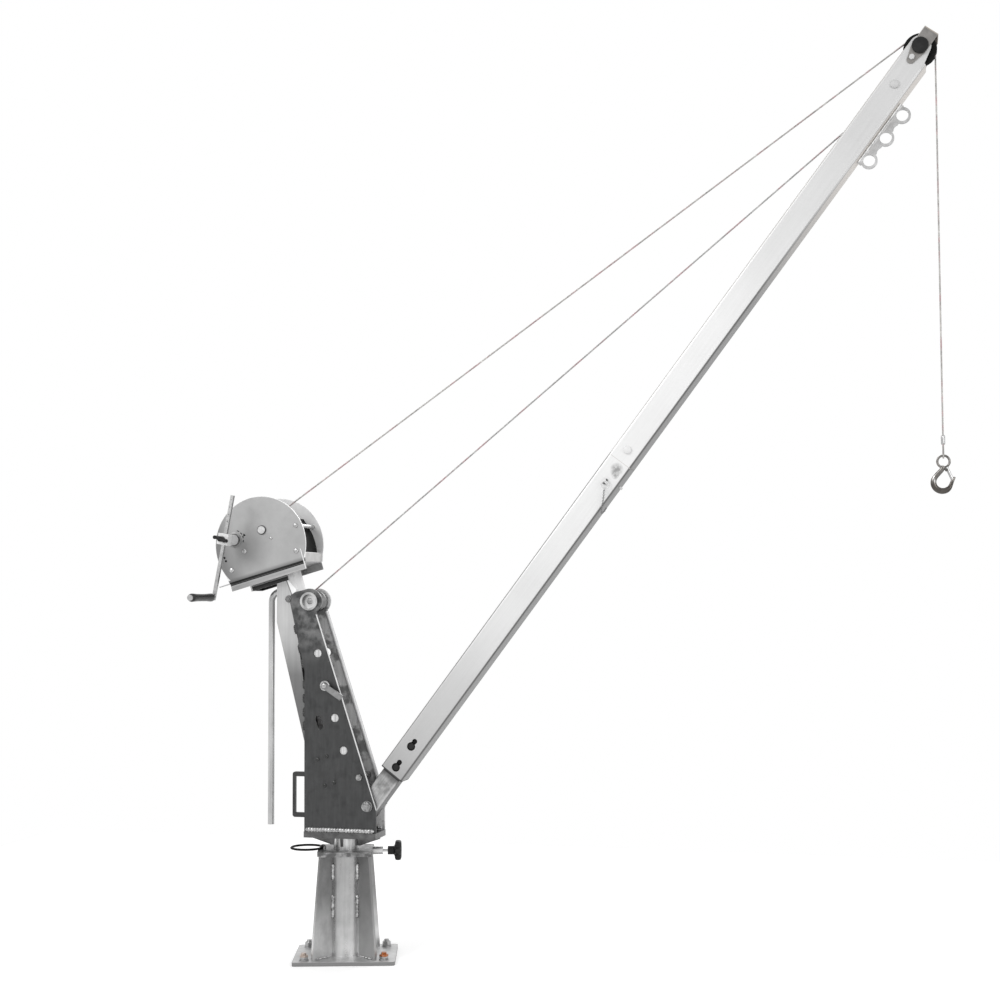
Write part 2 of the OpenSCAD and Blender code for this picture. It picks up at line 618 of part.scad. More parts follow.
// boom
module sq_tube2d(s, t, r) {
  difference() {
    round_sq(s, s, r);
    round_sq(s - 2 * t, s - 2 * t, max(0.5, r - t));
  }
}
module sq_tube(s0, s1, s, t, r) {
  translate([s0, 0, 0]) rotate([90, 0, 90]) linear_extrude(s1 - s0) sq_tube2d(s, t, r);
}
oh = outer_s / 2;
ih = inner_s / 2;
key_s = [150, 230];
module boom_inner() {
  color([0.75, 0.75, 0.75]) in_boom() difference() {
    union() {
      sq_tube(-40, 330, inner_s, 4, 6);
      for (k = [186, 300]) sq_tube(k, k + 12, outer_s - 2 * outer_t - 0.4, 5.2 + (outer_s - 2 * outer_t - inner_s) / 2 - 5, 4);
    }
    ycyl(0, 0, -oh, oh, 20 + 2 * run_fit, 64);
    for (k = key_s) ycyl(k, 0, -oh, oh, 12, 32);
  }
}
module boom_lower() {
  color([0.8, 0.8, 0.8]) in_boom() difference() {
    union() {
      sq_tube(125, joint_s, outer_s, outer_t, 8);
      sq_tube(joint_s - 97, joint_s + 103, outer_s - 2 * outer_t - 0.4, 4, 4);
      sq_tube(joint_s - 99, joint_s - 95, outer_s - 2 * outer_t + 0.4, 4.6, 4);
    }
    for (k = key_s) {
      ycyl(k, 0, -oh - 1, oh + 1, 26, 32);
      ycyl(k + 19, 0, -oh - 1, oh + 1, 16, 32);
      rbox(k, k + 19, -oh - 1, oh + 1, -7, 7);
    }
    ycyl(joint_s + 41, 0, -oh - 1, oh + 1, 16, 32);
    ycyl(joint_s - 73, 0, -oh - 1, oh + 1, 12 + 2 * loose_fit, 32);
  }
}
module head_cheek() {
  hull() {
    translate([boom_l, head_off]) circle(31, $fn = 72);
    translate([boom_l - 52, 0]) square([1, outer_s - 4], center = true);
  }
}
l_del = boom_ang - l_ang;
slot_a = anchor_s - (oh + 6) / tan(l_del - 4.5);
slot_b = anchor_s - (oh - outer_t - 6) / tan(l_del);
module boom_upper() {
  color([0.85, 0.85, 0.85]) in_boom() difference() {
    union() {
      sq_tube(joint_s, boom_l - 35, outer_s, outer_t, 8);
      for (s = [-1, 1]) yplate(s > 0 ? oh - outer_t : -oh, s > 0 ? oh : -oh + outer_t) head_cheek();
    }
    ycyl(joint_s + 41, 0, -oh - 1, oh + 1, 16, 32);
    ycyl(anchor_s, 0, -oh - 1, oh + 1, 16, 32);
    ycyl(boom_l, head_off, -oh - 1, oh + 1, 20, 48);
    ycyl(boom_l - 40, head_off, -oh - 1, oh + 1, 10, 32);
    rbox(slot_a, slot_b, -8, 8, oh - outer_t - 2, oh + 2);
    rbox(boom_l - 54, boom_l - 30, -14, 14, oh - outer_t - 4, oh + 2);
  }
}
module boom_bolts() {
  color([0.7, 0.7, 0.7]) in_boom() union() {
    translate([ring_s + 9.3, 0, -oh - 9.6]) cylinder(h = 9.6, d = 7, $fn = 32);
    for (k = key_s) {
      ycyl(k, 0, -ih - 1, ih + 1, 12, 32);
      for (s = [-1, 1]) ycyl(k, 0, s > 0 ? ih : -ih - 7, s > 0 ? ih + 7 : -ih, 22, 6);
    }
    for (k = [joint_s + 41, anchor_s]) {
      ycyl(k, 0, -oh - 1, oh + 1, 16, 32);
      for (s = [-1, 1]) ycyl(k, 0, s > 0 ? oh : -oh - 9, s > 0 ? oh + 9 : -oh, 25, 48);
    }
    for (s = [-1, 1]) ycyl(boom_l - 40, head_off, s > 0 ? oh - 8 : -oh - 9, s > 0 ? oh + 9 : -oh + 8, 10, 32);
    for (s = [-1, 1]) ycyl(boom_l - 40, head_off, s > 0 ? oh + 3 : -oh - 10, s > 0 ? oh + 10 : -oh - 3, 17, 6);
  }
}
ring_s = joint_s - 73;
module ring_pin() {
  color([0.6, 0.6, 0.6]) in_boom() union() {
    ycyl(ring_s, 0, -oh - 8, oh + 10, 12, 32);
    ycyl(ring_s, 0, -oh - 10, -oh - 0.3, 18, 32);
    translate([ring_s - 8, -oh - 11, -8]) rotate([90, 0, 0]) rotate_extrude($fn = 48) translate([11, 0]) circle(1.3, $fn = 16);
  }
}
chain_a = [piv_x + ring_s * cos(boom_ang), -oh - 11, piv_z + ring_s * sin(boom_ang)];
chain_e = [chain_a[0] + 47, 0, chain_a[2] - 24];
module pin_chain() {
  n = 14;
  p = [for (i = [0:n]) let (t = i / n)
    [chain_a[0] + (chain_e[0] - chain_a[0]) * t * t * t, chain_a[1] - 1.6 + (chain_e[1] - chain_a[1]) * pow(t, 5),
     chain_a[2] - 26.8 - 250 * t * (1 - t) - 0.6 * t + 3.4 * t]];
  color([0.5, 0.5, 0.5]) union() {
    for (i = [0:n - 1]) bead(p[i], p[i + 1], 0.9);
    for (i = [0:n]) translate(p[i]) sphere(1.8, $fn = 14);
  }
}
module lug_plate() {
  color([0.7, 0.7, 0.7]) in_boom() union() {
    difference() {
      yplate(-5, 5) union() {
        for (k = [0:2]) translate([boom_l - 181 - 79 * k, -oh - 25]) circle(24, $fn = 64);
        polygon([[boom_l - 157, -oh], [boom_l - 157, -oh - 12], [boom_l - 181, -oh - 30],
          [boom_l - 339, -oh - 30], [boom_l - 363, -oh - 12], [boom_l - 363, -oh]]);
      }
      for (k = [0:2]) ycyl(boom_l - 181 - 79 * k, -oh - 25, -6, 6, 34);
      for (k = [0:1]) translate([boom_l - 220.5 - 79 * k, 0, -oh - 44]) rotate([90, 0, 0])
        cylinder(h = 14, d = 34, $fn = 64, center = true);
    }
    for (s = [-1, 1]) bead([boom_l - 361, s * 8, -oh - 3], [boom_l - 159, s * 8, -oh - 3], 3);
  }
}
module sheave_axle() {
  color([0.08, 0.08, 0.08]) in_boom() union() {
    ycyl(boom_l, head_off, -oh - 4, oh + 4, 20, 48);
    for (s = [-1, 1]) ycyl(boom_l, head_off, s > 0 ? oh + 3 : -oh - 13, s > 0 ? oh + 13 : -oh - 3, 47, 64);
    for (s = [-1, 1]) ycyl(boom_l, head_off, s > 0 ? 11 : -oh + outer_t, s > 0 ? oh - outer_t : -11, 30, 48);
  }
}
module head_sheave() {
  color([0.06, 0.06, 0.06]) in_boom() translate([boom_l, 0, head_off]) rotate([90, 0, 0]) rotate_extrude($fn = 96)
    polygon([[10 + run_fit, -10.7], [sheave_d / 2 - 1, -10.7], [sheave_d / 2, -9], [groove_r + 2.6, -3.4],
      [groove_r, -2.6], [groove_r, 2.6], [groove_r + 2.6, 3.4], [sheave_d / 2, 9], [sheave_d / 2 - 1, 10.7],
      [10 + run_fit, 10.7]]);
}
module rope_guard() {
  color([0.5, 0.5, 0.5]) in_boom() difference() {
    union() {
      for (s = [-1, 1]) yplate(s > 0 ? oh : -oh - 3, s > 0 ? oh + 3 : -oh) union() {
        translate([boom_l - 46, head_off - 2]) circle(12, $fn = 48);
        polygon([[boom_l - 46, head_off - 14], [boom_l - 46, head_off + 10], [boom_l - 10, head_off + 23],
          [boom_l + 54, head_off + 23], [boom_l + 54, head_off - 23], [boom_l - 10, head_off - 23]]);
      }
      rbox(boom_l + 51, boom_l + 54, -oh - 3, oh + 3, head_off - 23, head_off + 23);
    }
    ycyl(boom_l, head_off, -oh - 4, oh + 4, 20, 48);
    ycyl(boom_l - 40, head_off, -oh - 4, oh + 4, 10, 32);
  }
}

// ropes and hook
module rod(x0, z0, x1, z1, d) {
  l = sqrt((x1 - x0) * (x1 - x0) + (z1 - z0) * (z1 - z0));
  translate([x0, 0, z0]) rotate([0, 90 - atan2(z1 - z0, x1 - x0), 0]) cylinder(h = l, d = d, $fn = 20);
}
module rope_arc(cx, cz, r, a0, a1) {
  translate([cx, 0, cz]) rotate([90, 0, 0]) rotate([0, 0, a0]) rotate_extrude(angle = a1 - a0, $fn = 96)
    translate([r, 0]) circle(rope_d / 2, $fn = 20);
}
luff_x = l_sx + l_len * cos(l_ang);
luff_z = l_sz + l_len * sin(l_ang);
eye_gap = 60;
module luff_rope() {
  color([0.45, 0.42, 0.4]) rod(l_sx, l_sz, l_sx + (l_len - eye_gap) * cos(l_ang), l_sz + (l_len - eye_gap) * sin(l_ang), rope_d);
}
module luff_eye() {
  color([0.5, 0.48, 0.45]) union() {
    rod(l_sx + (l_len - eye_gap + 0.6) * cos(l_ang), l_sz + (l_len - eye_gap + 0.6) * sin(l_ang),
      l_sx + (l_len - 15) * cos(l_ang), l_sz + (l_len - 15) * sin(l_ang), rope_d);
    rod(l_sx + (l_len - 45) * cos(l_ang), l_sz + (l_len - 45) * sin(l_ang),
      l_sx + (l_len - 20) * cos(l_ang), l_sz + (l_len - 20) * sin(l_ang), 11);
    translate([anchor_x, 0, anchor_z]) rotate([90, 0, 0]) rotate_extrude($fn = 48) translate([12, 0]) circle(3, $fn = 20);
  }
}
tail_r = 18;
module luff_tail() {
  tl = sqrt(p_len0 * p_len0 - luff_r * luff_r);
  tx = boss_x + luff_r * cos(p_ang - 90);
  tz = boss_z + luff_r * sin(p_ang - 90);
  color([0.45, 0.42, 0.4]) union() {
    rope_arc(boss_x, boss_z, luff_r, l_ang + 90.6, p_ang + 270);
    rod(tx + 0.1 * cos(p_ang), tz + 0.1 * sin(p_ang), tx + (tl - 19.2) * cos(p_ang), tz + (tl - 19.2) * sin(p_ang), rope_d);
    rod(tx + (tl - 52) * cos(p_ang), tz + (tl - 52) * sin(p_ang), tx + (tl - 20) * cos(p_ang), tz + (tl - 20) * sin(p_ang), 11);
    translate([lock_x, 0, lock_z]) rotate([90, 0, 0]) rotate_extrude($fn = 48) translate([16, 0]) circle(3, $fn = 20);
  }
}
h_len = sqrt((h_ex - h_sx) * (h_ex - h_sx) + (h_ez - h_sz) * (h_ez - h_sz));
module hoist_rope() {
  color([0.45, 0.42, 0.4]) rod(h_sx, h_sz, h_sx + (h_len - 60) * cos(h_ang), h_sz + (h_len - 60) * sin(h_ang), rope_d);
}
module hoist_end() {
  color([0.45, 0.42, 0.4]) rod(h_sx + (h_len - 59.4) * cos(h_ang), h_sz + (h_len - 59.4) * sin(h_ang), h_ex, h_ez, rope_d);
}
fall_x = head_x + head_r;
module fall_rope() {
  color([0.45, 0.42, 0.4]) union() {
    rope_arc(head_x, head_z, head_r, 0, h_ang + 89.2);
    translate([fall_x, 0, fall_z + 0.5]) cylinder(h = head_z - fall_z - 0.5, d = rope_d, $fn = 20);
  }
}
module rope_loop() {
  color([0.55, 0.55, 0.55]) translate([fall_x, 0, fall_z]) union() {
    translate([0, 0, -26]) cylinder(h = 26, d = 12, $fn = 40);
    for (s = [-1, 1]) bead([0, s * 2.6, -25], [0, s * 8, -40], 2.5);
    for (s = [-1, 1]) bead([0, s * 8, -40], [0, s * 8, -55.7], 2.5);
    translate([0, 0, -55.7]) rotate([90, 0, 90]) rotate([0, 0, 180]) rotate_extrude(angle = 180, $fn = 48)
      translate([8, 0]) circle(2.5, $fn = 20);
    for (s = [-1, 1]) translate([0, s * 8, -40]) sphere(2.5, $fn = 20);
  }
}
eye_z = fall_z - 74;
bowl = [fall_x - 4, eye_z - 59];
hook_path = concat([[fall_x, eye_z - 16, 6.5], [fall_x - 6, eye_z - 24, 7.2], [fall_x - 16, eye_z - 35, 7.4]],
  [for (a = [140:20:340]) [bowl[0] + 24.5 * cos(a), bowl[1] + 24.5 * sin(a), 7.4 + 1.4 * sin((a - 140) * 0.9) - (a > 300 ? (a - 300) / 20 : 0)]],
  [[bowl[0] + 27.5, bowl[1] + 3, 4.8], [bowl[0] + 33, bowl[1] + 13, 3.6]]);
module hook() {
  color([0.72, 0.72, 0.72]) union() {
    translate([fall_x, 0, eye_z]) rotate([90, 0, 0]) rotate_extrude($fn = 48) translate([16.8, 0]) circle(3.4, $fn = 20);
    for (i = [0:len(hook_path) - 2]) hull() {
      translate([hook_path[i][0], 0, hook_path[i][1]]) scale([1, 0.85, 1]) sphere(hook_path[i][2], $fn = 18);
      translate([hook_path[i + 1][0], 0, hook_path[i + 1][1]]) scale([1, 0.85, 1]) sphere(hook_path[i + 1][2], $fn = 18);
    }
    translate([fall_x + 7.5, 0, eye_z - 24]) rotate([90, 0, 0]) cylinder(h = 8, d = 9, $fn = 32, center = true);
    translate([fall_x + 7.5, 0, eye_z - 24]) rotate([90, 0, 0]) cylinder(h = 13, d = 2.9, $fn = 32, center = true);
  }
}
module hook_latch() {
  color([0.66, 0.66, 0.66]) translate([fall_x + 7.5, 0, eye_z - 24]) rotate([0, 70, 0]) difference() {
    union() {
      for (s = [-1, 1]) rbox(-4, 16, s > 0 ? 4.4 : -5.9, s > 0 ? 5.9 : -4.4, -4.5, 4.5);
      rbox(12, 30, -5.9, 5.9, -1, 0.8);
    }
    ycyl(0, 0, -7, 7, 3, 24);
  }
}

// output
echo(l_ang = l_ang, h_ang = h_ang, l_len = l_len, h_len = h_len, slot = [slot_a, slot_b]);
base_plate();
foot_tube();
foot_gussets();
foot_flange();
foot_welds();
anchor_bolts();
foot_bushes();
thrust_block();
lashing_ring();
clamp_screw();
star_knob();
spigot();
mast_floor();
mast_gussets();
mast_plate_near();
mast_plate_far();
mast_spine();
mast_welds();
top_tube();
luff_roller();
carry_handle();
push_rod();
mast_bolts();
lock_pin();
pin_tag();
winch_post();
winch_tray();
winch_plate_near();
winch_plate_far();
winch_ties();
winch_front();
drum_axle();
drum();
drum_rope();
drum_gear();
crank_shaft();
ratchet_wheel();
pawl();
crank_arm();
wing_screw();
grip();
boom_inner();
boom_lower();
boom_upper();
boom_bolts();
ring_pin();
pin_chain();
lug_plate();
sheave_axle();
head_sheave();
rope_guard();
luff_rope();
luff_tail();
luff_eye();
hoist_rope();
hoist_end();
fall_rope();
rope_loop();
hook();
hook_latch();
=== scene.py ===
# %% [markdown]
# # A davit crane, dressed for its picture
# The solids of the crane come from a CAD part and already have their true size.
# This file loads them, replaces the few shapes that need finer surfaces (ropes, welds,
# the hook, the knobs), and gives every surface a finish made from nodes.
# Lengths are in metres. The origin is on the slewing axis, on the floor.

# %% Load the frame
import json
import math

import bmesh
import bpy
import numpy as np
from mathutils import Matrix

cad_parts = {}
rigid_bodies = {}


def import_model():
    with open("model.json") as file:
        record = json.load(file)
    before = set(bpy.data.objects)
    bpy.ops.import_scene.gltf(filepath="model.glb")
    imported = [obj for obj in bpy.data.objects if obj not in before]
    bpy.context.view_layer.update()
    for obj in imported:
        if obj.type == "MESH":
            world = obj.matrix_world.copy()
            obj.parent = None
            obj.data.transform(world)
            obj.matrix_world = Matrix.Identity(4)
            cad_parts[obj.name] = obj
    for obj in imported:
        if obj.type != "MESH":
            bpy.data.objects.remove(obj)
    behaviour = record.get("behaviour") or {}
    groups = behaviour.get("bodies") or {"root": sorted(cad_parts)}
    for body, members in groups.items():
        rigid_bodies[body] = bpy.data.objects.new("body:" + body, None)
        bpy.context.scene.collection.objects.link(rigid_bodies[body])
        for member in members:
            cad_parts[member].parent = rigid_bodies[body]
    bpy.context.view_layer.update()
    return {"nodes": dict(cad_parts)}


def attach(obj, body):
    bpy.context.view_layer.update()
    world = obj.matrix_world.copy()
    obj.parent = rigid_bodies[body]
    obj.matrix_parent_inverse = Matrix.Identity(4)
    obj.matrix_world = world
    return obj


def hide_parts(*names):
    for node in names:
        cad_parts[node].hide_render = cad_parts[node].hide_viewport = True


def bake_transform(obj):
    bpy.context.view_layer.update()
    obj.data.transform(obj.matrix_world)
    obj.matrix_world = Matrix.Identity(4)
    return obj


for left_over in list(bpy.data.objects):
    bpy.data.objects.remove(left_over)
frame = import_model()
nodes = frame["nodes"]
print("nodes loaded:", len(nodes))

# %% [markdown]
# ## The camera
# The photograph was taken from a little to the right of the crane, at about the height of
# the mast's head. Seven known points of the crane fix the lens, the place and the tilt.

# %% Camera
YAW, PITCH, ROLL = (math.radians(a) for a in (14.218, 3.273, -0.234))
SENSOR = 36.0
LENS = 1.6001 * SENSOR
SPOT = (1.682, -4.697, 1.114)


def stand(obj, across, over, back, spot):
    """Put a camera or a lamp at spot, its own x, y and z axes pointing across, over and back."""
    columns = np.eye(4)
    columns[:3] = np.stack([across, over, back, spot], 1)
    obj.matrix_world = columns.T.tolist()


right = np.array([math.cos(YAW), math.sin(YAW), 0.0])
ahead = np.array([-math.sin(YAW) * math.cos(PITCH), math.cos(YAW) * math.cos(PITCH), math.sin(PITCH)])
up = np.cross(right, ahead)
camera = bpy.data.objects.new("camera", bpy.data.cameras.new("camera"))
bpy.context.collection.objects.link(camera)
bpy.context.scene.camera = camera
camera.data.sensor_width = SENSOR
camera.data.lens = LENS
camera.data.clip_end = 100.0
across, over = math.cos(ROLL) * right + math.sin(ROLL) * up, math.cos(ROLL) * up - math.sin(ROLL) * right
stand(camera, across, over, -ahead, SPOT)
print("camera at", SPOT, "with a lens of %.1f mm" % LENS)

# %% [markdown]
# ## Shader maths as Python
# A value from a node is wrapped in a small class, so a mask can be written as
# `1 - streak * 0.3` instead of as a row of Math nodes placed by hand. Every node comes from
# one function, which sets the node up first and fills its sockets after.


# %% Val, add_node and Finish
class Val:
    """A socket in a node tree, with Python's operators."""

    def __init__(self, socket):
        self.socket, self.tree = socket, socket.id_data

    def math(self, operation, *others, swap=False):
        """A Math node on this value and the others, or on them in the other order."""
        terms = [self, *others]
        if swap:
            terms.reverse()
        sockets = {"i%d" % k: term for k, term in enumerate(terms)}
        return add_node(self.tree, "Math", {"operation": operation}, **sockets)

    def __add__(self, other):
        return self.math("ADD", other)

    def __sub__(self, other):
        return self.math("SUBTRACT", other)

    def __rsub__(self, other):
        return self.math("SUBTRACT", other, swap=True)

    def __mul__(self, other):
        return self.math("MULTIPLY", other)

    __radd__, __rmul__ = __add__, __mul__

    def clamp(self, low=0.0, high=1.0):
        return self.math("MAXIMUM", low).math("MINIMUM", high)

    def ramp(self, low, high):
        """0 below low, 1 above high, straight between."""
        return ((self - low) * (1.0 / (high - low))).clamp()


def fill(place, value):
    """Link a Val to a socket, or set the socket's own number, vector or colour."""
    if isinstance(value, Val):
        place.id_data.links.new(value.socket, place)
    elif place.type == "RGBA":
        place.default_value = (*value[:3], 1.0)
    else:
        place.default_value = value


def add_node(tree, kind, settings=(), out=0, **values):
    """A node of that kind: its settings first, then its sockets, each by its name or as i and its number."""
    node = tree.nodes.new("ShaderNode" + kind)
    for key, value in dict(settings).items():
        setattr(node, key, value)
    for key, value in values.items():
        fill(node.inputs[int(key[1:]) if key[1:].isdigit() else key], value)
    return Val(node.outputs[out])


class Finish:
    """A material with its own node tree and one Principled shader."""

    def __init__(self, name, roughness, metallic=0.0, slot="steel"):
        self.material = bpy.data.materials.new(name)
        self.material.use_nodes = True
        self.tree = self.material.node_tree
        self.shader = self.tree.nodes["Principled BSDF"]
        self.slot = slot
        self.set("Roughness", roughness)
        self.set("Metallic", metallic)

    def set(self, socket, value):
        fill(self.shader.inputs[socket], value)

    def node(self, kind, settings=(), out=0, **values):
        return add_node(self.tree, kind, settings, out, **values)

    def vector(self, operation, first, out=0, **others):
        """A Vector Math node, whose plain numbers come from its socket Value."""
        return self.node("VectorMath", {"operation": operation}, out, i0=first, **others)

    def spot(self):
        """Object coordinates: every piece sits at the origin, so they are the crane's own metres."""
        return self.node("TexCoord", out="Object")

    def place(self, scale=(1, 1, 1), turn=(0, 0, 0)):
        """Object coordinates, turned and then stretched."""
        turned = self.node("Mapping", Vector=self.spot(), Rotation=turn)
        return self.node("Mapping", Vector=turned, Scale=scale)

    def noise(self, where, scale, detail=4.0, rough=0.55):
        return self.node("TexNoise", Vector=where, Scale=scale, Detail=detail, Roughness=rough)

    def patches(self, scale, detail, low, high, rough=0.55):
        """0 and 1 in patches of noise, with soft edges where the noise lies between low and high."""
        return self.noise(self.place(), scale, detail, rough).ramp(low, high)

    def blend(self, mask, first, second):
        """first where mask is 0, second where it is 1; both are colours."""
        return self.node("Mix", {"data_type": "RGBA", "clamp_factor": True}, 2, i0=mask, i6=first, i7=second)

    def past(self, way, start, soft=0.001, origin=(0, 0, 0)):
        """0 before a plane and 1 beyond it: (distance from origin along way - start) / soft, in metres."""
        start += float(np.dot(way, origin))
        return self.vector("DOT_PRODUCT", self.spot(), "Value", i1=tuple(way)).ramp(start, start + soft)

    def band(self, way, start, end, soft=0.001, origin=(0, 0, 0)):
        """1 between two planes, 0 outside them."""
        return self.past(way, start, soft, origin) * (1 - self.past(way, end, soft, origin))

    def disc(self, centre, radius, soft=0.001):
        """1 inside a circle in the plane of the boom, 0 outside it."""
        gap = self.vector("SUBTRACT", self.spot(), i1=tuple(centre))
        flat = self.vector("MULTIPLY", gap, i1=(1, 0, 1))
        return 1 - self.vector("LENGTH", flat, "Value").ramp(radius, radius + soft)

    def levels(self, way, stops, origin=(0, 0, 0)):
        """A grey that changes along a direction, straight between pairs of (distance, level 0-255)."""
        colour = grey(stops[0][1])
        for (low, _), (high, level) in zip(stops, stops[1:]):
            colour = self.blend(self.past(way, low, high - low, origin), colour, grey(level))
        return colour

    def bump(self, height, strength, distance):
        self.set("Normal", self.node("Bump", Strength=strength, Distance=distance, Height=height))


GAMMA = 2.2


def grey(level, warm=0.0):
    """A grey written as a photograph's 0-255 level, turned to linear light."""
    linear = (level / 255.0) ** GAMMA
    return (linear * (1 + warm), linear, linear * max(0.2, 1 - warm))


# %% [markdown]
# ## Surfaces from formulas
# A new piece is a grid of points: two parameters run along it and round it. The whole
# grid is worked out at once with numpy and handed to the mesh in one step.


# %% Grids, tubes and lathes
SHARP = math.radians(35)


def surface(points, loop=False):
    """A part (points, faces) from a grid (rows, ring points, 3): each ring is closed and joined to the next.

    With loop the last ring joins the first; without it each end gets one face.
    """
    points = np.asarray(points, float)
    rows, ring = points.shape[:2]
    i, j = np.meshgrid(np.arange(rows if loop else rows - 1), np.arange(ring), indexing="ij")
    k, n = (j + 1) % ring, (i + 1) % rows
    quads = np.stack([i * ring + j, i * ring + k, n * ring + k, n * ring + j], -1).reshape(-1, 4)
    faces = quads.tolist()
    if not loop:
        faces += [list(range(ring))[::-1], list(range((rows - 1) * ring, rows * ring))]
    return points.reshape(-1, 3), faces


def piece(name, parts, finish, body=None, stands_for=(), smooth=True):
    """One object from one or more parts; its faces are made to point outwards."""
    parts = [parts] if isinstance(parts, tuple) else parts
    verts, faces, start = [], [], 0
    for points, quads in parts:
        verts.append(points)
        faces += [[start + k for k in quad] for quad in quads]
        start += len(points)
    mesh = bpy.data.meshes.new(name)
    mesh.from_pydata(np.concatenate(verts).tolist(), [], faces)
    work = bmesh.new()
    work.from_mesh(mesh)
    bmesh.ops.recalc_face_normals(work, faces=work.faces)
    work.to_mesh(mesh)
    work.free()
    if smooth:
        mesh.shade_smooth()
        mesh.set_sharp_from_angle(angle=SHARP)
    mesh.materials.append(finish.material)
    obj = bpy.data.objects.new(name, mesh)
    bpy.context.collection.objects.link(obj)
    if body:
        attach(obj, body)
    if stands_for:
        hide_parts(*stands_for)
    print("%s: %d faces, in %s" % (name, len(faces), finish.material.name))
    return obj


def carry(path, closed=False):
    """Two unit vectors square to a path at each point, carried along it without twist."""
    step = np.roll(path, -1, 0) - np.roll(path, 1, 0) if closed else np.gradient(path, axis=0)
    ahead = step / np.linalg.norm(step, axis=1, keepdims=True)
    first = np.cross(ahead[0], (0.0, 1.0, 0.0))
    if np.linalg.norm(first) < 0.1:
        first = np.cross(ahead[0], (0.0, 0.0, 1.0))
    across = [first / np.linalg.norm(first)]
    for direction in ahead[1:]:
        a = across[-1] - direction * np.dot(across[-1], direction)
        across.append(a / np.linalg.norm(a))
    across = np.array(across)
    return across, np.cross(ahead, across)


def tube(path, radius, sides=16, flat=1.0, shape=None, closed=False):
    """A ring carried along a path: point = path + radius * (cos a * across + flat * sin a * over).

    shape(length, angle) can turn the angle and scale the radius, as a rope's strands do.
    """
    path = np.asarray(path, float)
    across, over = carry(path, closed)
    angle = np.linspace(0, 2 * math.pi, sides, endpoint=False)[None, :]
    radius = np.broadcast_to(np.asarray(radius, float), (len(path),))[:, None]
    if shape is not None:
        steps = np.linalg.norm(np.diff(path, axis=0), axis=1)
        angle, scale = shape(np.concatenate([[0], np.cumsum(steps)])[:, None], angle)
        radius = radius * scale
    ring = np.cos(angle)[..., None] * across[:, None] + flat * np.sin(angle)[..., None] * over[:, None]
    return surface(path[:, None] + radius[..., None] * ring, closed)


def rope(path, radius, lay=0.042, strands=6):
    """A twisted rope: one round lobe per strand, and one full turn for each lay length."""

    def strand(length, angle):
        return angle + 2 * math.pi * length / lay, 0.84 + 0.16 * np.abs(np.sin(angle * strands / 2))

    return tube(path, radius, strands * 4, shape=strand)


def bead(start, end, radius, ripple=0.0026):
    """A weld bead: a tube whose radius swells once per ripple, as each drop froze on the last."""
    path = line(np.asarray(start, float), np.asarray(end, float), ripple / 4)
    steps = np.arange(len(path))
    wave = 0.84 + 0.16 * np.abs(np.sin(steps * math.pi / 4))
    ends = np.minimum(1, np.minimum(steps, steps[::-1]) / 4 + 0.35)
    return tube(path, radius * wave * ends, 12)


def lathe(centre, axis, profile, sides=48, wave=None):
    """A profile of (distance along axis, radius) turned round an axis, scaled by wave(angle, distance)."""
    axis = np.asarray(axis, float) / np.linalg.norm(axis)
    a = np.cross(axis, (0, 0, 1.0) if abs(axis[2]) < 0.9 else (1.0, 0, 0))
    a /= np.linalg.norm(a)
    b = np.cross(axis, a)
    along, radius = np.asarray(profile, float).T
    angle = np.linspace(0, 2 * math.pi, sides, endpoint=False)
    scale = np.ones_like(angle) if wave is None else wave(angle[None, :], along[:, None])
    ring = np.cos(angle)[:, None] * a + np.sin(angle)[:, None] * b
    middle = np.asarray(centre) + along[:, None, None] * axis
    return surface(middle + (radius[:, None] * scale)[..., None] * ring)


def nut(centre, axis, across, height, turn=0.0):
    """A hexagon nut with chamfered corners: the radius is the smaller of a hexagon and a cone."""
    flat, corner = across / 2, across / math.sqrt(3)
    rows = np.array([0, 0.06, 0.14, 0.3, 0.5, 0.7, 0.86, 0.94, 1.0])
    cone = corner - 1.045 * (corner - flat) * np.maximum(0, 1 - np.minimum(rows, 1 - rows) / 0.16)

    def hexagonal(angle, _):
        sector = (angle + turn) % (math.pi / 3) - math.pi / 6
        return np.minimum(flat / np.cos(sector), cone[:, None])

    return lathe(centre, axis, [(row * height, 1.0) for row in rows], 72, hexagonal)


def stud(centre, axis, radius, length, pitch=0.002):
    """A threaded end: a rod whose radius rises and falls along a helix."""
    rows = np.linspace(0, length, int(length / pitch * 8))
    return lathe(centre, axis, [(row, radius) for row in rows], 32,
                 lambda angle, along: 1 - 0.04 * (1 + np.sin(2 * math.pi * along / pitch + angle)))


# %% [markdown]
# ## Places on the crane
# The crane's joints and angles are repeated from the CAD part. Each tilted part gets its own
# two directions, so that a point is written as it would be measured on the real thing: so far
# up the boom and so far off its centre line, or so far along the winch's tray and above it.

# %% Directions and places
MM = 0.001
SIDES = (-1, 1)
Y = np.array([0.0, 1.0, 0.0])
UP = np.array([0.0, 0.0, 1.0])


def heading(angle):
    """The direction in the boom's plane that rises at that angle."""
    return np.array([math.cos(angle), 0.0, math.sin(angle)])


def square_to(angle):
    """The direction a quarter turn round from heading(angle)."""
    return np.array([-math.sin(angle), 0.0, math.cos(angle)])


def at(x, z, y=0.0):
    """The point x in front of the slewing axis and z above the floor, in millimetres."""
    return np.array([x, y, z]) * MM


# The boom's pivot, the boss on the mast's head, the locking pin, and the rear end of the winch's tray.
PIVOT, BOSS, LOCK, TRAY_START = at(82.3, 464), at(-105.3, 1086.4), at(-50.4, 827.8), at(-347.4, 1117)
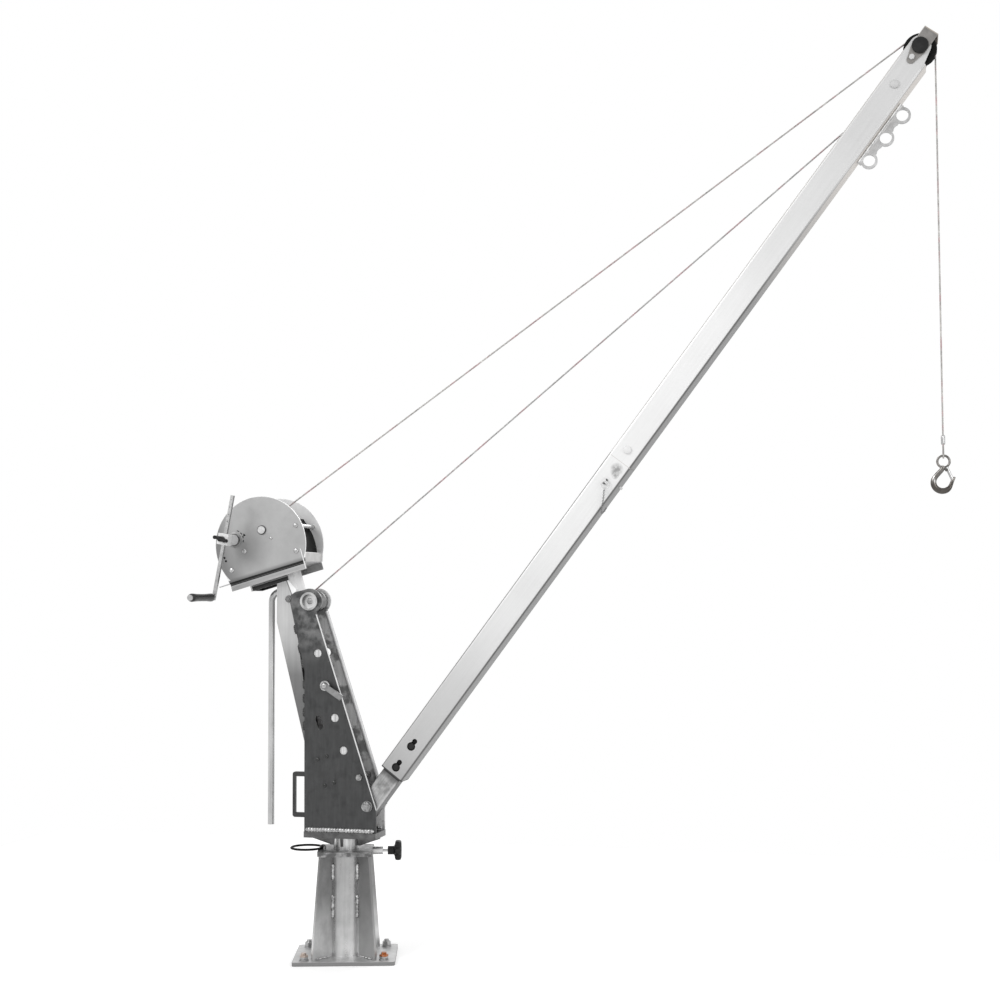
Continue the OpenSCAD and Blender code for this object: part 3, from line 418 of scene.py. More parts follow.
# The boom and the tray rise by these angles, and the foot is turned on the floor by the third.
BOOM, TRAY, FOOT_TURN = (math.radians(a) for a in (52.8, 15.9, 15.7))
ALONG, OFF = heading(BOOM), square_to(BOOM)
TRAY_ALONG, TRAY_UP = heading(TRAY), square_to(TRAY)
CLAMP_OUT = np.array([math.cos(FOOT_TURN), math.sin(FOOT_TURN), 0.0])
BOLT_X, BOLT_Y = 120, 91.5


def on_boom(s, off, y=0.0):
    """The point s along the boom from its pivot, off above its centre line, in millimetres."""
    return PIVOT + MM * (s * ALONG + off * OFF + y * Y)


def on_tray(x, z, y=0.0):
    """The point x along the winch's tray and z above it, in millimetres."""
    return TRAY_START + MM * (x * TRAY_ALONG + z * TRAY_UP + y * Y)


def in_foot(x, y, z, fin=0.0):
    """The point (x, y, z) in the turned foot, in millimetres, turned further by a fin's angle in degrees."""
    a = FOOT_TURN + math.radians(fin)
    return np.array([x * math.cos(a) - y * math.sin(a), x * math.sin(a) + y * math.cos(a), z]) * MM


def arc(centre, radius, first, last, count=24):
    """Points on a circle in the plane of the boom, from angle first to angle last in degrees."""
    angle = np.radians(np.linspace(first, last, count))
    return centre + radius * np.stack([np.cos(angle), 0 * angle, np.sin(angle)], -1)


def line(start, end, step=0.004):
    """Points at equal steps on a straight line."""
    count = max(2, int(np.linalg.norm(end - start) / step))
    return start + np.linspace(0, 1, count)[:, None] * (end - start)


def tangent(start, end, start_r, end_r):
    """The straight line over the top of two circles: its two end points and its angle."""
    gap = end - start
    angle = math.atan2(gap[2], gap[0]) - math.asin((start_r - end_r) / math.hypot(gap[0], gap[2]))
    return start + start_r * square_to(angle), end + end_r * square_to(angle), angle


# %% Where the ropes run
# The rope's radius, and how far its middle runs from the axis of the drum, as it lies and as it leaves,
# from that of the head's sheave, and from that of the roller on the mast.
ROPE = 0.0025
COIL_R, LEAD_R, HEAD_R, LUFF_R = 0.0245, 0.0298, 0.0423, 0.0248
HEAD = on_boom(2763, 6)
LUFF_END = on_boom(2635, 0)
AXLE = on_tray(145.6, 156.3)
CRANK = on_tray(49.6, 152.3)
FALL_X = HEAD[0] + HEAD_R
FALL_Z = 1.551
hoist_a, hoist_b, hoist_angle = tangent(AXLE, HEAD, LEAD_R, HEAD_R)
luff_a, luff_b, luff_angle = tangent(BOSS, LUFF_END, LUFF_R, 0.0)
hoist_length, luff_length = np.linalg.norm(hoist_b - hoist_a), np.linalg.norm(luff_b - luff_a)
print("hoist rope %.3f m, luff rope %.3f m" % (hoist_length, luff_length))

# %% [markdown]
# ## Finishes
# The crane is galvanised and brushed steel. Its plates show long rolling streaks, soft
# clouds of zinc and small scratches; the ropes are dull and oily, the knobs black plastic.
# One function makes every steel, and a short list of touches gives each its own marks and its
# painted light and shade.


# %% The steel that every piece starts from
def steel(name, light, dark, rough, metallic, grain, cloud, turn=(0, 0, 0), clouds=0.55, painted_glints=0.0, warm=0.0,
          stops=None, touches=None, slot="steel"):
    """Zinc or brushed steel: streaks and wide clouds darken the colour, and the streaks roughen it.

    light and dark are the greys that it lies between. grain is the scale of its streaks, as one number or
    one for each direction, cloud that of its clouds, and clouds their share. stops is (direction, levels,
    origin) for a colour that changes along the piece. touches(finish) gives rows of a mask, a level and
    perhaps a warmth: what the hammer, the grinder, the torch or the weather left lighter or darker, and
    the light and shade that are painted into the colour.
    """
    f = Finish(name, rough, metallic, slot)
    grain = (grain,) * 3 if isinstance(grain, int) else grain
    streak = f.noise(f.place(grain, turn), 1.0, 3.0)
    mottle = f.noise(f.place(turn=turn), cloud, 5.0, 0.6)
    fine = f.noise(f.place(), 420.0, 2.0)
    mask = (streak.ramp(0.3, 0.7) * (1 - clouds) + mottle.ramp(0.32, 0.68) * clouds).clamp()
    share = (dark / light) ** GAMMA
    colour = f.levels(*stops) if stops else grey(light, warm)
    colour = f.vector("SCALE", colour, Scale=mask * (1 - share) + share)
    # The share of small bright flecks is painted highlight: glints on the metal.
    if painted_glints:
        bright = f.patches(60.0, 6.0, 0.62, 0.7, 0.75)
        colour = f.blend(bright * painted_glints, colour, grey(min(255, light + 50)))
    for spot, level, *tint in touches(f) if touches else ():
        colour = f.blend(spot * (mask * 0.1 + 0.9), colour, grey(level, *tint))
    f.set("Base Color", colour)
    f.set("Roughness", (streak * 0.25 + rough - 0.12 + fine * 0.08).clamp(0.12, 0.9))
    f.bump(streak * 0.6 + fine * 0.4, 0.12, 0.0006)
    return f


def hardware(*levels, **rest):
    """The steel of bolts, pins and other bought parts."""
    return steel(*levels, slot="hardware", **rest)


# %% [markdown]
# ## Marks
# Wear, and the light and shade that are painted into the colour, sit where the shape puts them,
# so a mark is a mask from the piece's own directions and a grey. A plane finds an underside or a
# cut edge, two planes a line, a disc a hole, a stain or a pool of painted shade, and noise breaks
# the edge of what is not machined.


# %% Marks on the boom
def boom_touches(f):
    """Painted shade below and on the lower rolled corner, lighter and warmer near the head, and nearly black
    at the cut end; the upper corner is darker below the joint than above it; dirt smudged by the joint.
    """
    # under, corner and below are painted shade, which high lightens near the head; cut is painted shade at
    # the cut end.
    under = f.past(-OFF, 0.0388, 0.0006, PIVOT)
    corner = f.past(-OFF, 0.0335, 0.003, PIVOT) * f.past(-Y, 0.0345, 0.003)
    below = f.past(-OFF, 0.034, 0.002, PIVOT)
    upper = f.past(OFF, 0.0345, 0.002, PIVOT) * f.past(-Y, 0.034, 0.002)
    smudge = (f.disc(on_boom(1272, -8), 0.008, 0.014) + f.disc(on_boom(1256, -15), 0.004, 0.009)).clamp()
    smudge = smudge * f.patches(70.0, 3.0, 0.28, 0.55)
    high = f.past(ALONG, 1.9, 0.5, PIVOT)
    joined = f.past(ALONG, 1.3, 0.01, PIVOT)
    cut = 1 - f.past(ALONG, 0.1285, 0.0006, PIVOT)
    return [(below, 150, 0.01), (under, 138), (high * under, 212, 0.05), (corner, 98), (high * corner, 214),
            (upper * (1 - joined), 148, 0.01), (upper * joined, 196, 0.02), (smudge * 0.9, 132), (cut, 62)]


def joint_touches(f):
    """The upper boom's cut end is bright, and painted shade darkens it on the underside."""
    cut = 1 - f.past(ALONG, 1.2985, 0.0006, PIVOT)
    # The last row is painted shade on the underside of the cut end.
    return [*boom_touches(f), (cut, 200, 0.03), (cut * f.past(-OFF, 0.038, 0.001, PIVOT), 96, 0.1)]


def inner_touches(f):
    """Painted shade where it runs in the outer boom and on its underside, a painted highlight on its lower
    edge, and scuffs at the pivot end.
    """
    # under and the rows of inside are painted shade, edge is a painted highlight; scuff is wear.
    scuff = f.patches(38.0, 4.0, 0.4, 0.62)
    under = f.past(-OFF, 0.0302, 0.0006, PIVOT)
    edge = f.past(-OFF, 0.022, 0.004, PIVOT) * f.past(-Y, 0.029, 0.001)
    inside = ((0.1, 0.02, 84), (0.118, 0.001, 56), (0.131, 0.001, 26))
    return [(scuff * 0.6, 92), (under, 84), (edge * 0.5, 214),
            *((f.past(ALONG, s, soft, PIVOT), level) for s, soft, level in inside)]


def pin_touches(f):
    """Two small dark marks on the ring pin's plate."""
    marks = f.disc(on_boom(1232, -5), 0.0032, 0.0015) + f.disc(on_boom(1217, -4), 0.0032, 0.0015)
    return [(marks.clamp(), 40)]


def guard_touches(f):
    """Painted light: the guard's outer end and its top face are lighter."""
    end = f.past(ALONG, 2.8135, 0.0006, PIVOT)
    return [(end, 158, 0.12), (f.past(OFF, 0.027, 0.0006, PIVOT), 176, 0.03)]


def lug_touches(f):
    """Painted light on the weld that joins the lugs to the boom, with darker mottled patches of the weld."""
    # weld: painted light along the boom's underside; its darker patches are the mottled weld.
    weld = (1 - f.past(-OFF, 0.0475, 0.004, PIVOT)) * 0.8
    return [(weld, 236), (weld * f.patches(70.0, 4.0, 0.4, 0.6) * 0.5, 110)]


# %% Marks on the mast
# The first two directions are square to the mast's sloping front edge and to its leaning back.
EDGE = np.array([0.9498, 0.0, 0.3127])
SPINE = np.array([0.927, 0.0, 0.375])
LEFT = np.array([-0.8, 0.0, 0.6])
EDGE_TOP = 1.044


def mast_touches(f):
    """Scale has worn off round the boss, and a painted highlight lies along the front edge."""
    worn = f.patches(26.0, 5.0, 0.42, 0.62) * f.disc(BOSS + at(30, -30), 0.05, 0.12)
    # front: a painted highlight along the front edge, up to EDGE_TOP.
    front = f.past(EDGE, 0.2462, 0.0006) * (1 - f.past(UP, EDGE_TOP, 0.004))
    return [(f.patches(24.0, 5.0, 0.5, 0.7) * 0.5, 58), (worn * 0.6, 150), (front, 222)]


def far_touches(f):
    """The inner face is patchy and the outer face dark; along the front edge lies a painted highlight,
    with a darker line at its very edge.
    """
    low = 1 - f.past(UP, EDGE_TOP, 0.004)
    # The last two rows are the painted highlight on the front edge and its darker line.
    return [(f.patches(14.0, 4.0, 0.5, 0.58), 128), (f.past(Y, 0.0425, 0.0004), 84),
            (f.past(EDGE, 0.2485, 0.0008) * low, 255), (f.past(EDGE, 0.2572, 0.0006) * low, 150)]


def spine_touches(f):
    """Painted shade in a dark seam, and beyond it painted light where the foot of the winch post shows
    bright.
    """
    top = f.past(UP, 1.088, 0.004)
    # The first row is painted shade, the second painted light.
    return [(f.past(SPINE, 0.2595, 0.0008) * top, 120), (f.past(SPINE, 0.2629, 0.0006) * top, 244)]


def boss_touches(f):
    """Painted shade in the hollow end of the boss, deepest on its left, and painted light on the core's
    right.
    """
    hollow = f.disc(BOSS, 0.0213, 0.0003)
    left = f.past(LEFT, -0.002, 0.022, BOSS)
    return [(hollow, 214), (hollow * left, 112), (f.disc(BOSS, 0.0154, 0.0004) * (1 - left), 196)]


# %% Marks on the winch
def tray_touches(f):
    """Painted shade in the folded joint's gap: two dark lines with the brighter lip of the plate between
    them; and painted shade on the bracket under the tray.
    """
    # under and fold are painted shade.
    near = f.past(-Y, 0.0745, 0.0005)
    under = 1 - f.past(TRAY_UP, -0.0008, 0.0006, TRAY_START)
    fold = f.past(TRAY_UP, 0.0165, 0.0006, TRAY_START)
    lip = f.band(TRAY_UP, 0.0197, 0.0204, 0.0003, TRAY_START)
    return [(under, 56), (fold * near, 22), (lip * near, 120)]


def winch_touches(f):
    """Painted shade round the crank, on the left and towards the foot, with a dark line of it at the foot;
    a painted highlight on the cut rim.
    """
    # dark, left, shade and foot are painted shade; rim is a painted highlight.
    dark = f.disc(on_tray(95, 118), 0.02, 0.06)
    left = 1 - f.past(TRAY_ALONG, -0.002, 0.06, TRAY_START)
    shade = 1 - f.past(TRAY_UP, 0.028, 0.012, TRAY_START)
    rim = (1 - f.disc(on_tray(129.1, 114), 0.1484, 0.0004)) * f.past(TRAY_UP, 0.034, 0.001, TRAY_START)
    foot = 1 - f.past(TRAY_UP, 0.0275, 0.0008, TRAY_START)
    return [(dark * 0.5, 112), (left * 0.75, 96), (shade * 0.8, 92), (rim, 226), (foot, 22)]


def far_winch_touches(f):
    """The outer face is darker than the inner face, whose light grey is painted light."""
    return [(f.past(Y, 0.0762, 0.0003), 172)]


def shaft_touches(f):
    """Bright, with two dark grooves."""
    grooves = f.band(-Y, 0.0785, 0.084, 0.0004) + f.band(-Y, 0.1345, 0.1361, 0.0004)
    return [(f.past(-Y, 0.077, 0.0004), 226), (grooves, 40), (f.past(-Y, 0.1361, 0.0004), 236)]


def axle_touches(f):
    """The axle's end is bright, with a dark line round it."""
    return [(f.disc(AXLE, 0.0145, 0.0004) * (1 - f.disc(AXLE, 0.0118, 0.0004)), 70)]


# %% Marks on the foot and the hook
def fin_touches(f):
    """The fin on the front right is in shade."""
    return [(f.past(in_foot(1000, 0, 0, 315), 0.062, 0.002) * 0.6, 122)]


def flange_touches(f):
    """Weld spatter and soot round the tube; the clamp's boss has stayed bright."""
    return [(f.patches(55.0, 4.0, 0.42, 0.58), 92), (f.past(CLAMP_OUT, 0.0832, 0.0004), 214)]


def plate_touches(f):
    """The plate's cut edges are darker than its top."""
    return [(1 - f.past(UP, 0.0112, 0.0004), 128)]


def rust_touches(f):
    """One anchor has rusted, and its neighbour has begun to."""
    rust = f.past(UP, 0.0215, 0.001) * (f.patches(160.0, 4.0, 0.3, 0.5) * 0.4 + 0.6)
    rows = []
    for x, share, level, tint in ((BOLT_X, 1.0, 90, 2.4), (-BOLT_X, 0.3, 120, 1.2)):
        spot = in_foot(x, -BOLT_Y, 0)
        rows.append((f.past(spot / np.linalg.norm(spot), 0.12, 0.002) * rust * share, level, tint))
    return rows


def hook_touches(f):
    """A painted highlight along the bar's left side, and the underside of the bowl darker and brown."""
    centre = at(1786.8, 1433.1)
    # bar * left is the painted highlight on the bar's left side.
    bar = f.disc(centre, 0.0255, 0.002) * (1 - f.disc(centre, 0.0205, 0.002))
    left = f.past((-1, 0, 0.3), 0.012, 0.008, centre)
    return [((1 - f.past(UP, 1.412, 0.014)) * 0.7, 58, 0.15), (bar * left * 0.45, 210)]


# %% Steels of the boom
BOOM_TURN, TRAY_TURN = (0, BOOM, 0), (0, TRAY, 0)
BOOM_LEVELS = (ALONG, ((0.13, 170), (0.22, 188), (0.4, 202), (0.75, 226), (1.1, 236), (1.8, 234), (2.2, 218),
                       (2.45, 206), (2.65, 208)), PIVOT)
boom_steel = steel("lower boom zinc", 240, 226, 0.42, 0.5, (5, 300, 300), 3.0, BOOM_TURN, 0.6,
                   stops=BOOM_LEVELS, touches=boom_touches)
upper_steel = steel("upper boom zinc", 240, 228, 0.42, 0.5, (5, 300, 300), 3.0, BOOM_TURN, 0.6,
                    stops=BOOM_LEVELS, touches=joint_touches)
boom_inner_steel = steel("inner boom zinc", 190, 144, 0.4, 0.7, (6, 240, 240), 14.0, BOOM_TURN,
                         touches=inner_touches)
head_steel = steel("lug zinc", 204, 158, 0.42, 0.7, 60, 12.0, BOOM_TURN, touches=lug_touches)
guard_steel = steel("guard steel", 146, 112, 0.42, 0.7, 60, 14.0, BOOM_TURN, warm=0.04, touches=guard_touches)
bolt_zinc = hardware("boom bolt zinc", 232, 218, 0.6, 0.2, 60, 14.0, BOOM_TURN, stops=BOOM_LEVELS)
pin_zinc = hardware("ring pin zinc", 226, 206, 0.5, 0.4, 60, 14.0, BOOM_TURN, touches=pin_touches)

# %% Steels of the mast
SPINE_LEVELS = (UP, ((0.383, 112), (0.75, 118), (0.86, 128), (0.965, 188), (1.02, 196)))
# The mast plate's dark grey is a painted reflection of dark surroundings.
mast_steel = steel("mast plate", 84, 62, 0.38, 0.8, (110, 110, 16), 24.0, clouds=0.6, warm=-0.01,
                   touches=mast_touches)
# The far plate is a lighter copy of the mast plate: painted light on its inner face.
mast_far_steel = steel("far mast plate", 236, 196, 0.5, 0.2, (90, 90, 5), 6.0, touches=far_touches)
plug_steel = hardware("hole plug", 236, 168, 0.4, 0.5, (150, 150, 2), 20.0, clouds=0.05)
# A bright edge: painted highlight, on the far plate's front edge and on the front plate's fold.
highlight_edge_steel = steel("painted highlight edge", 246, 226, 0.5, 0.2, (60, 60, 6), 20.0)
spine_steel = steel("mast back", 196, 172, 0.4, 0.8, (200, 200, 6), 5.0, stops=SPINE_LEVELS,
                    touches=spine_touches)
post_steel = steel("winch post zinc", 236, 216, 0.42, 0.6, (120, 120, 8), 6.0, TRAY_TURN)
handle_steel = steel("carry handle", 78, 58, 0.4, 0.8, (60, 60, 20), 12.0)
under_steel = steel("mast floor zinc", 116, 60, 0.26, 0.9, (30, 60, 60), 22.0, clouds=0.6, painted_glints=0.3)
boss_steel = steel("boss zinc", 214, 146, 0.26, 0.9, 50, 26.0, clouds=0.7, touches=boss_touches)
roller_steel = steel("roller steel", 150, 92, 0.24, 0.9, 50, 16.0)

# %% Steels of the foot
TUBE_LEVELS = (UP, ((0.012, 226), (0.06, 212), (0.16, 188), (0.3, 184)))
FIN_LEVELS = (UP, ((0.012, 240), (0.09, 210), (0.2, 158), (0.31, 150)))
foot_steel = steel("foot tube zinc", 196, 150, 0.26, 0.8, (70, 70, 5), 11.0, clouds=0.6, stops=TUBE_LEVELS)
fin_steel = steel("foot fin zinc", 150, 116, 0.36, 0.7, (70, 70, 12), 14.0, clouds=0.75, stops=FIN_LEVELS,
                  touches=fin_touches)
rod_steel = steel("push rod zinc", 216, 166, 0.2, 0.65, (90, 90, 5), 11.0, clouds=0.35)
# The spigot's upright streaks, from 240 to 34, are a painted reflection.
spigot_steel = steel("spigot steel", 240, 34, 0.24, 0.9, (60, 60, 2), 20.0, clouds=0.05)
plate_steel = steel("base plate zinc", 204, 164, 0.38, 0.8, 60, 12.0, painted_glints=0.3, touches=plate_touches)
flange_steel = steel("flange zinc", 168, 116, 0.34, 0.85, 60, 30.0, painted_glints=0.3, touches=flange_touches)
weld_steel = steel("weld", 206, 104, 0.24, 0.9, 120, 60.0, painted_glints=0.5)

# %% Steels of the winch and of the small parts
winch_steel = steel("winch plate", 174, 156, 0.42, 0.8, 60, 7.0, TRAY_TURN, 0.8, touches=winch_touches)
# The far winch plate is a lighter copy of the winch plate: painted light on its inner face.
winch_far_steel = steel("far winch plate", 236, 212, 0.5, 0.2, 60, 7.0, TRAY_TURN, 0.8,
                        touches=far_winch_touches)
tray_steel = steel("winch tray", 178, 150, 0.36, 0.85, (5, 160, 160), 8.0, TRAY_TURN, touches=tray_touches)
front_steel = steel("front plate zinc", 214, 190, 0.45, 0.4, 60, 16.0, TRAY_TURN, warm=0.01)
gear_steel = steel("cut gear", 112, 72, 0.42, 0.9, 80, 20.0, slot="gear_steel")
tag_steel = hardware("pin tag", 160, 104, 0.32, 0.9, 80, 34.0)
bright_steel = hardware("bright zinc", 200, 150, 0.22, 0.95, 90, 30.0)
nut_steel = hardware("nut zinc", 184, 88, 0.24, 0.95, 60, 90.0, clouds=0.8)
shaft_steel = hardware("crank shaft zinc", 226, 186, 0.36, 0.3, 90, 30.0, touches=shaft_touches)
axle_steel = hardware("axle end zinc", 240, 168, 0.3, 0.6, 60, 90.0, touches=axle_touches)
# A dark steel for the small screws, the stitches and the chain.
dull_steel = hardware("oiled screw", 84, 48, 0.22, 0.9, 90, 40.0)
anchor_steel = hardware("anchor zinc", 196, 132, 0.26, 0.9, 90, 30.0, touches=rust_touches)
hook_steel = hardware("forged zinc", 150, 64, 0.16, 0.98, (90, 90, 40), 60.0, warm=0.05, touches=hook_touches)

# %% [markdown]
# ## Rope, plastic and paint
# Galvanised wire looks dull because light is lost between its strands, so the colour itself
# is mottled finely. The plastic is nearly black with a fine grain, paler where hands wear it.


# %% Rope, plastic and painted finishes
def rope_finish(name, light, dark, warm=0.03):
    """Dull wire rope: mottled darker as painted shade in the furrows, and reddish in places along its length.
    """
    f = Finish(name, 0.45, 0.6, "rope")
    patch = f.noise(f.place(), 35.0, 4.0)
    wires = f.noise(f.place(), 900.0, 2.0)
    colour = f.blend((patch * 0.5 + wires * 0.5).ramp(0.35, 0.65), grey(dark, warm), grey(light, warm))
    f.set("Base Color", f.blend(f.patches(24.0, 3.0, 0.5, 0.62) * 0.6, colour, (0.48, 0.27, 0.29)))
    f.set("Roughness", (wires * 0.3 + 0.35).clamp())
    f.bump(wires, 0.4, 0.0004)
    return f


def plastic(name, level, rough=0.42, grain=700.0, gloss=0.3, slot="plastic"):
    """Moulded plastic: nearly black, with a fine spark-eroded grain and worn paler patches."""
    f = Finish(name, rough, slot=slot)
    f.set("Specular IOR Level", gloss)
    fine = f.noise(f.place(), grain, 2.0)
    worn = f.patches(22.0, 5.0, 0.45, 0.75)
    f.set("Base Color", f.blend(worn, grey(level), grey(level + 26)))
    f.set("Roughness", (worn * 0.2 + rough - 0.05 + fine * 0.1).clamp())
    f.bump(fine, 0.15, 0.0004)
    return f


hoist_finish = rope_finish("hoist rope", 206, 124)
luff_finish = rope_finish("luff rope", 196, 130, 0.01)
# The wound rope is a darker copy of the hoist rope: painted shade between the winch's plates.
coil_finish = rope_finish("wound rope", 120, 50)
black_plastic = plastic("black plastic", 20)
grip_plastic = plastic("grip plastic", 14, 0.3, gloss=0.5)
sheave_plastic = plastic("sheave plastic", 10, 0.4, gloss=0.15)
bush_plastic = plastic("bush plastic", 52, 0.5)
black_paint = plastic("black paint", 8, 0.5, 300.0, 0.1, "black_steel")

FINISHES = {
    plate_steel: "base_plate", foot_steel: "foot_tube", fin_steel: "foot_gussets",
    flange_steel: "foot_flange", bush_plastic: "foot_bushes thrust_block",
    black_paint: "lashing_ring winch_front", anchor_steel: "anchor_bolts",
    bright_steel: "clamp_screw lock_pin drum_axle crank_arm boom_bolts hook_latch",
    black_plastic: "star_knob wing_screw sheave_axle", spigot_steel: "spigot",
    under_steel: "mast_floor mast_gussets", mast_steel: "mast_plate_near", mast_far_steel: "mast_plate_far",
    spine_steel: "mast_spine", weld_steel: "mast_welds foot_welds", boss_steel: "top_tube",
    roller_steel: "luff_roller", handle_steel: "carry_handle", rod_steel: "push_rod",
    nut_steel: "mast_bolts winch_ties", tag_steel: "pin_tag", post_steel: "winch_post",
    tray_steel: "winch_tray", winch_steel: "winch_plate_near", winch_far_steel: "winch_plate_far",
    gear_steel: "drum drum_gear ratchet_wheel pawl", coil_finish: "drum_rope", shaft_steel: "crank_shaft",
    grip_plastic: "grip", boom_inner_steel: "boom_inner", boom_steel: "boom_lower",
    upper_steel: "boom_upper", pin_zinc: "ring_pin", dull_steel: "pin_chain", head_steel: "lug_plate",
    sheave_plastic: "head_sheave", guard_steel: "rope_guard", luff_finish: "luff_rope luff_tail luff_eye",
    hoist_finish: "hoist_rope hoist_end fall_rope rope_loop", hook_steel: "hook",
}
given = 0
for finish, names in FINISHES.items():
    for name in names.split():
        materials = nodes[name].data.materials
        if not materials:
            materials.append(finish.material)
        for k in range(len(materials)):
            materials[k] = finish.material
        given += 1
print("finishes given to", given, "of", len(nodes), "nodes")

# %% [markdown]
# ## Ropes
# A wire rope is six strands laid round a core. At arm's length it reads as a slanted
# ripple, so the tube's ring has six lobes and turns as it goes. The two long ropes are
# each held at both ends and pull straight; the fall hangs free.

# %% The four stretches of rope
ROPE_STEP = 0.005
hoist_path = line(hoist_a, hoist_b, ROPE_STEP)
hoist = piece("rope_to_head", rope(hoist_path, ROPE), hoist_finish, stands_for=("hoist_rope", "hoist_end"))
tuple(hoist_a)
tuple(hoist_b)
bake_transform(hoist)
luff_way = heading(luff_angle)
luff_path = line(luff_a, luff_b - 0.014 * luff_way, ROPE_STEP)
luff = piece("rope_to_boom", rope(luff_path, ROPE), luff_finish, stands_for=("luff_rope",))
tuple(luff_a)
tuple(luff_b)
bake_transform(luff)
over_sheave = arc(HEAD, HEAD_R, math.degrees(hoist_angle) + 90, 0, 30)
piece("rope_over_sheave", rope(over_sheave, ROPE), hoist_finish, "fall_line")
fall_path = line(np.array([FALL_X, 0, HEAD[2]]), np.array([FALL_X, 0, FALL_Z - 0.002]), ROPE_STEP)
fall = piece("falling_rope", rope(fall_path, ROPE), hoist_finish, stands_for=("fall_rope",))
tuple(fall_path[0])
tuple(fall_path[-1])
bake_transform(fall)
print("fall: %.3f m" % (fall_path[0][2] - fall_path[-1][2]))

# %% [markdown]
# ## The rope's ends
# One rope goes over the mast's boss and down to the locking pin; its path is an arc and the
# tangent that leaves it. A spliced eye is a closed ring, and the ferrule that holds it is
# turned. The rope on the drum is one helix, so every turn of it lies beside the last.

# %% Tail over the mast head, eyes and ferrules
EYE_WIRE = 0.0026
# Each ferrule starts this far before the middle of its eye.
LOCK_FERRULE, BOOM_FERRULE = 0.051, 0.045
FERRULE = [(0, 0.004), (0.0015, 0.0052), (0.004, 0.0056), (0.026, 0.0056), (0.0285, 0.0052), (0.03, 0.004)]
gap = LOCK - BOSS
far = math.hypot(gap[0], gap[2])
tail_angle = math.atan2(gap[2], gap[0]) + math.asin(LUFF_R / far)
tail_start = BOSS - LUFF_R * square_to(tail_angle)
tail_length = math.sqrt(far * far - LUFF_R * LUFF_R)
down = heading(tail_angle)
over_boss = arc(BOSS, LUFF_R, math.degrees(luff_angle) + 90, math.degrees(tail_angle) + 270, 20)
to_lock = line(tail_start, tail_start + down * (tail_length - 0.03), ROPE_STEP)
tail = np.concatenate([over_boss, to_lock[1:]])
lock_eye = tube(arc(LOCK, 0.0155, 0, 352, 40), EYE_WIRE, 12, closed=True)
piece("rope_over_mast", [rope(tail, ROPE), lock_eye], luff_finish, "mast", ("luff_tail",))
lock_ferrule = lathe(tail_start + down * (tail_length - LOCK_FERRULE), down, FERRULE)
piece("tail_ferrule", lock_ferrule, bright_steel, "mast")
anchor_eye = tube(arc(LUFF_END, 0.0125, 0, 351, 40), EYE_WIRE, 12, closed=True)
piece("boom_eye", anchor_eye, luff_finish, "luff_line_end", ("luff_eye",))
boom_ferrule = lathe(LUFF_END - luff_way * BOOM_FERRULE, luff_way, FERRULE)
piece("boom_ferrule", boom_ferrule, bright_steel, "luff_line_end")

# %% Rope on the drum
TURNS, TURN_STEP = 10, 0.0055
STEPS = 40
turns = np.linspace(0, TURNS, TURNS * STEPS + 1)
angle = hoist_angle + math.pi / 2 + 2 * math.pi * turns
winding = AXLE + np.stack([COIL_R * np.cos(angle), TURN_STEP * turns, COIL_R * np.sin(angle)], -1)
piece("rope_on_drum", rope(winding, ROPE), coil_finish, "drum_body", ("drum_rope",))

# %% [markdown]
# ## The hook
# A forged hook is one bar bent round: thick at the bottom where it carries the load and
# thin at the tip. It is a tube along a smooth curve, with an oval ring whose size changes.


# %% Hook, its eye and its latch
def smooth_line(points, count):
    """A smooth line through rows of numbers: cubic pieces whose slopes come from the neighbours."""
    points = np.asarray(points, float)
    pad = np.concatenate([2 * points[:1] - points[1:2], points, 2 * points[-1:] - points[-2:-1]])
    place = np.linspace(0, len(points) - 1 - 1e-9, count)
    i = place.astype(int)
    t = (place - i)[:, None]
    p0, p1, p2, p3 = pad[i], pad[i + 1], pad[i + 2], pad[i + 3]
    bend, twist = 2 * p0 - 5 * p1 + 4 * p2 - p3, 3 * p1 - p0 - 3 * p2 + p3
    return 0.5 * (2 * p1 + (p2 - p0) * t + bend * t**2 + twist * t**3)


EYE = np.array([FALL_X, 0, FALL_Z - 0.074])
BOWL_X, BOWL_Z, BOWL_R = -4.0, -59.0, 24.5
# (x, z, radius) of the bar, in millimetres from the middle of the hook's eye.
sections = [(0, -12, 5.6), (-1.5, -17, 6.6), (-6, -24, 7.2), (-16, -35, 7.4)]
for degrees in range(140, 341, 20):
    a = math.radians(degrees)
    thick = 7.4 + 1.4 * math.sin((a - math.radians(140)) * 0.9) - max(0, degrees - 300) / 20
    sections.append((BOWL_X + BOWL_R * math.cos(a), BOWL_Z + BOWL_R * math.sin(a), thick))
for x, z, thick in ((27.5, 3, 4.8), (33, 13, 3.4), (34, 15, 1.4)):
    sections.append((BOWL_X + x, BOWL_Z + z, thick))
bar = smooth_line(sections, 90) * MM
bar_path = np.stack([EYE[0] + bar[:, 0], 0 * bar[:, 0], EYE[2] + bar[:, 1]], -1)
hook_eye = tube(arc(EYE, 0.0168, 0, 355, 72), 0.0034, 20, closed=True)
rivet = [(0, 0.0038), (0.0006, 0.0045), (0.0074, 0.0045), (0.008, 0.0038)]
hook_rivet = lathe(EYE + at(7.5, -24, 4), -Y, rivet)
hook_parts = [tube(bar_path, bar[:, 2], 28, 0.85), hook_eye, hook_rivet]
piece("hook_bar", hook_parts, hook_steel, "hook_body", ("hook",))
tongue = [at(x, z) for x, z in ((1798, 1461.5), (1800, 1457), (1804.8, 1446), (1813.5, 1426))]
piece("latch_tongue", tube(smooth_line(tongue, 40), 0.0046, 16, 0.7), bright_steel, "latch", ("hook_latch",))

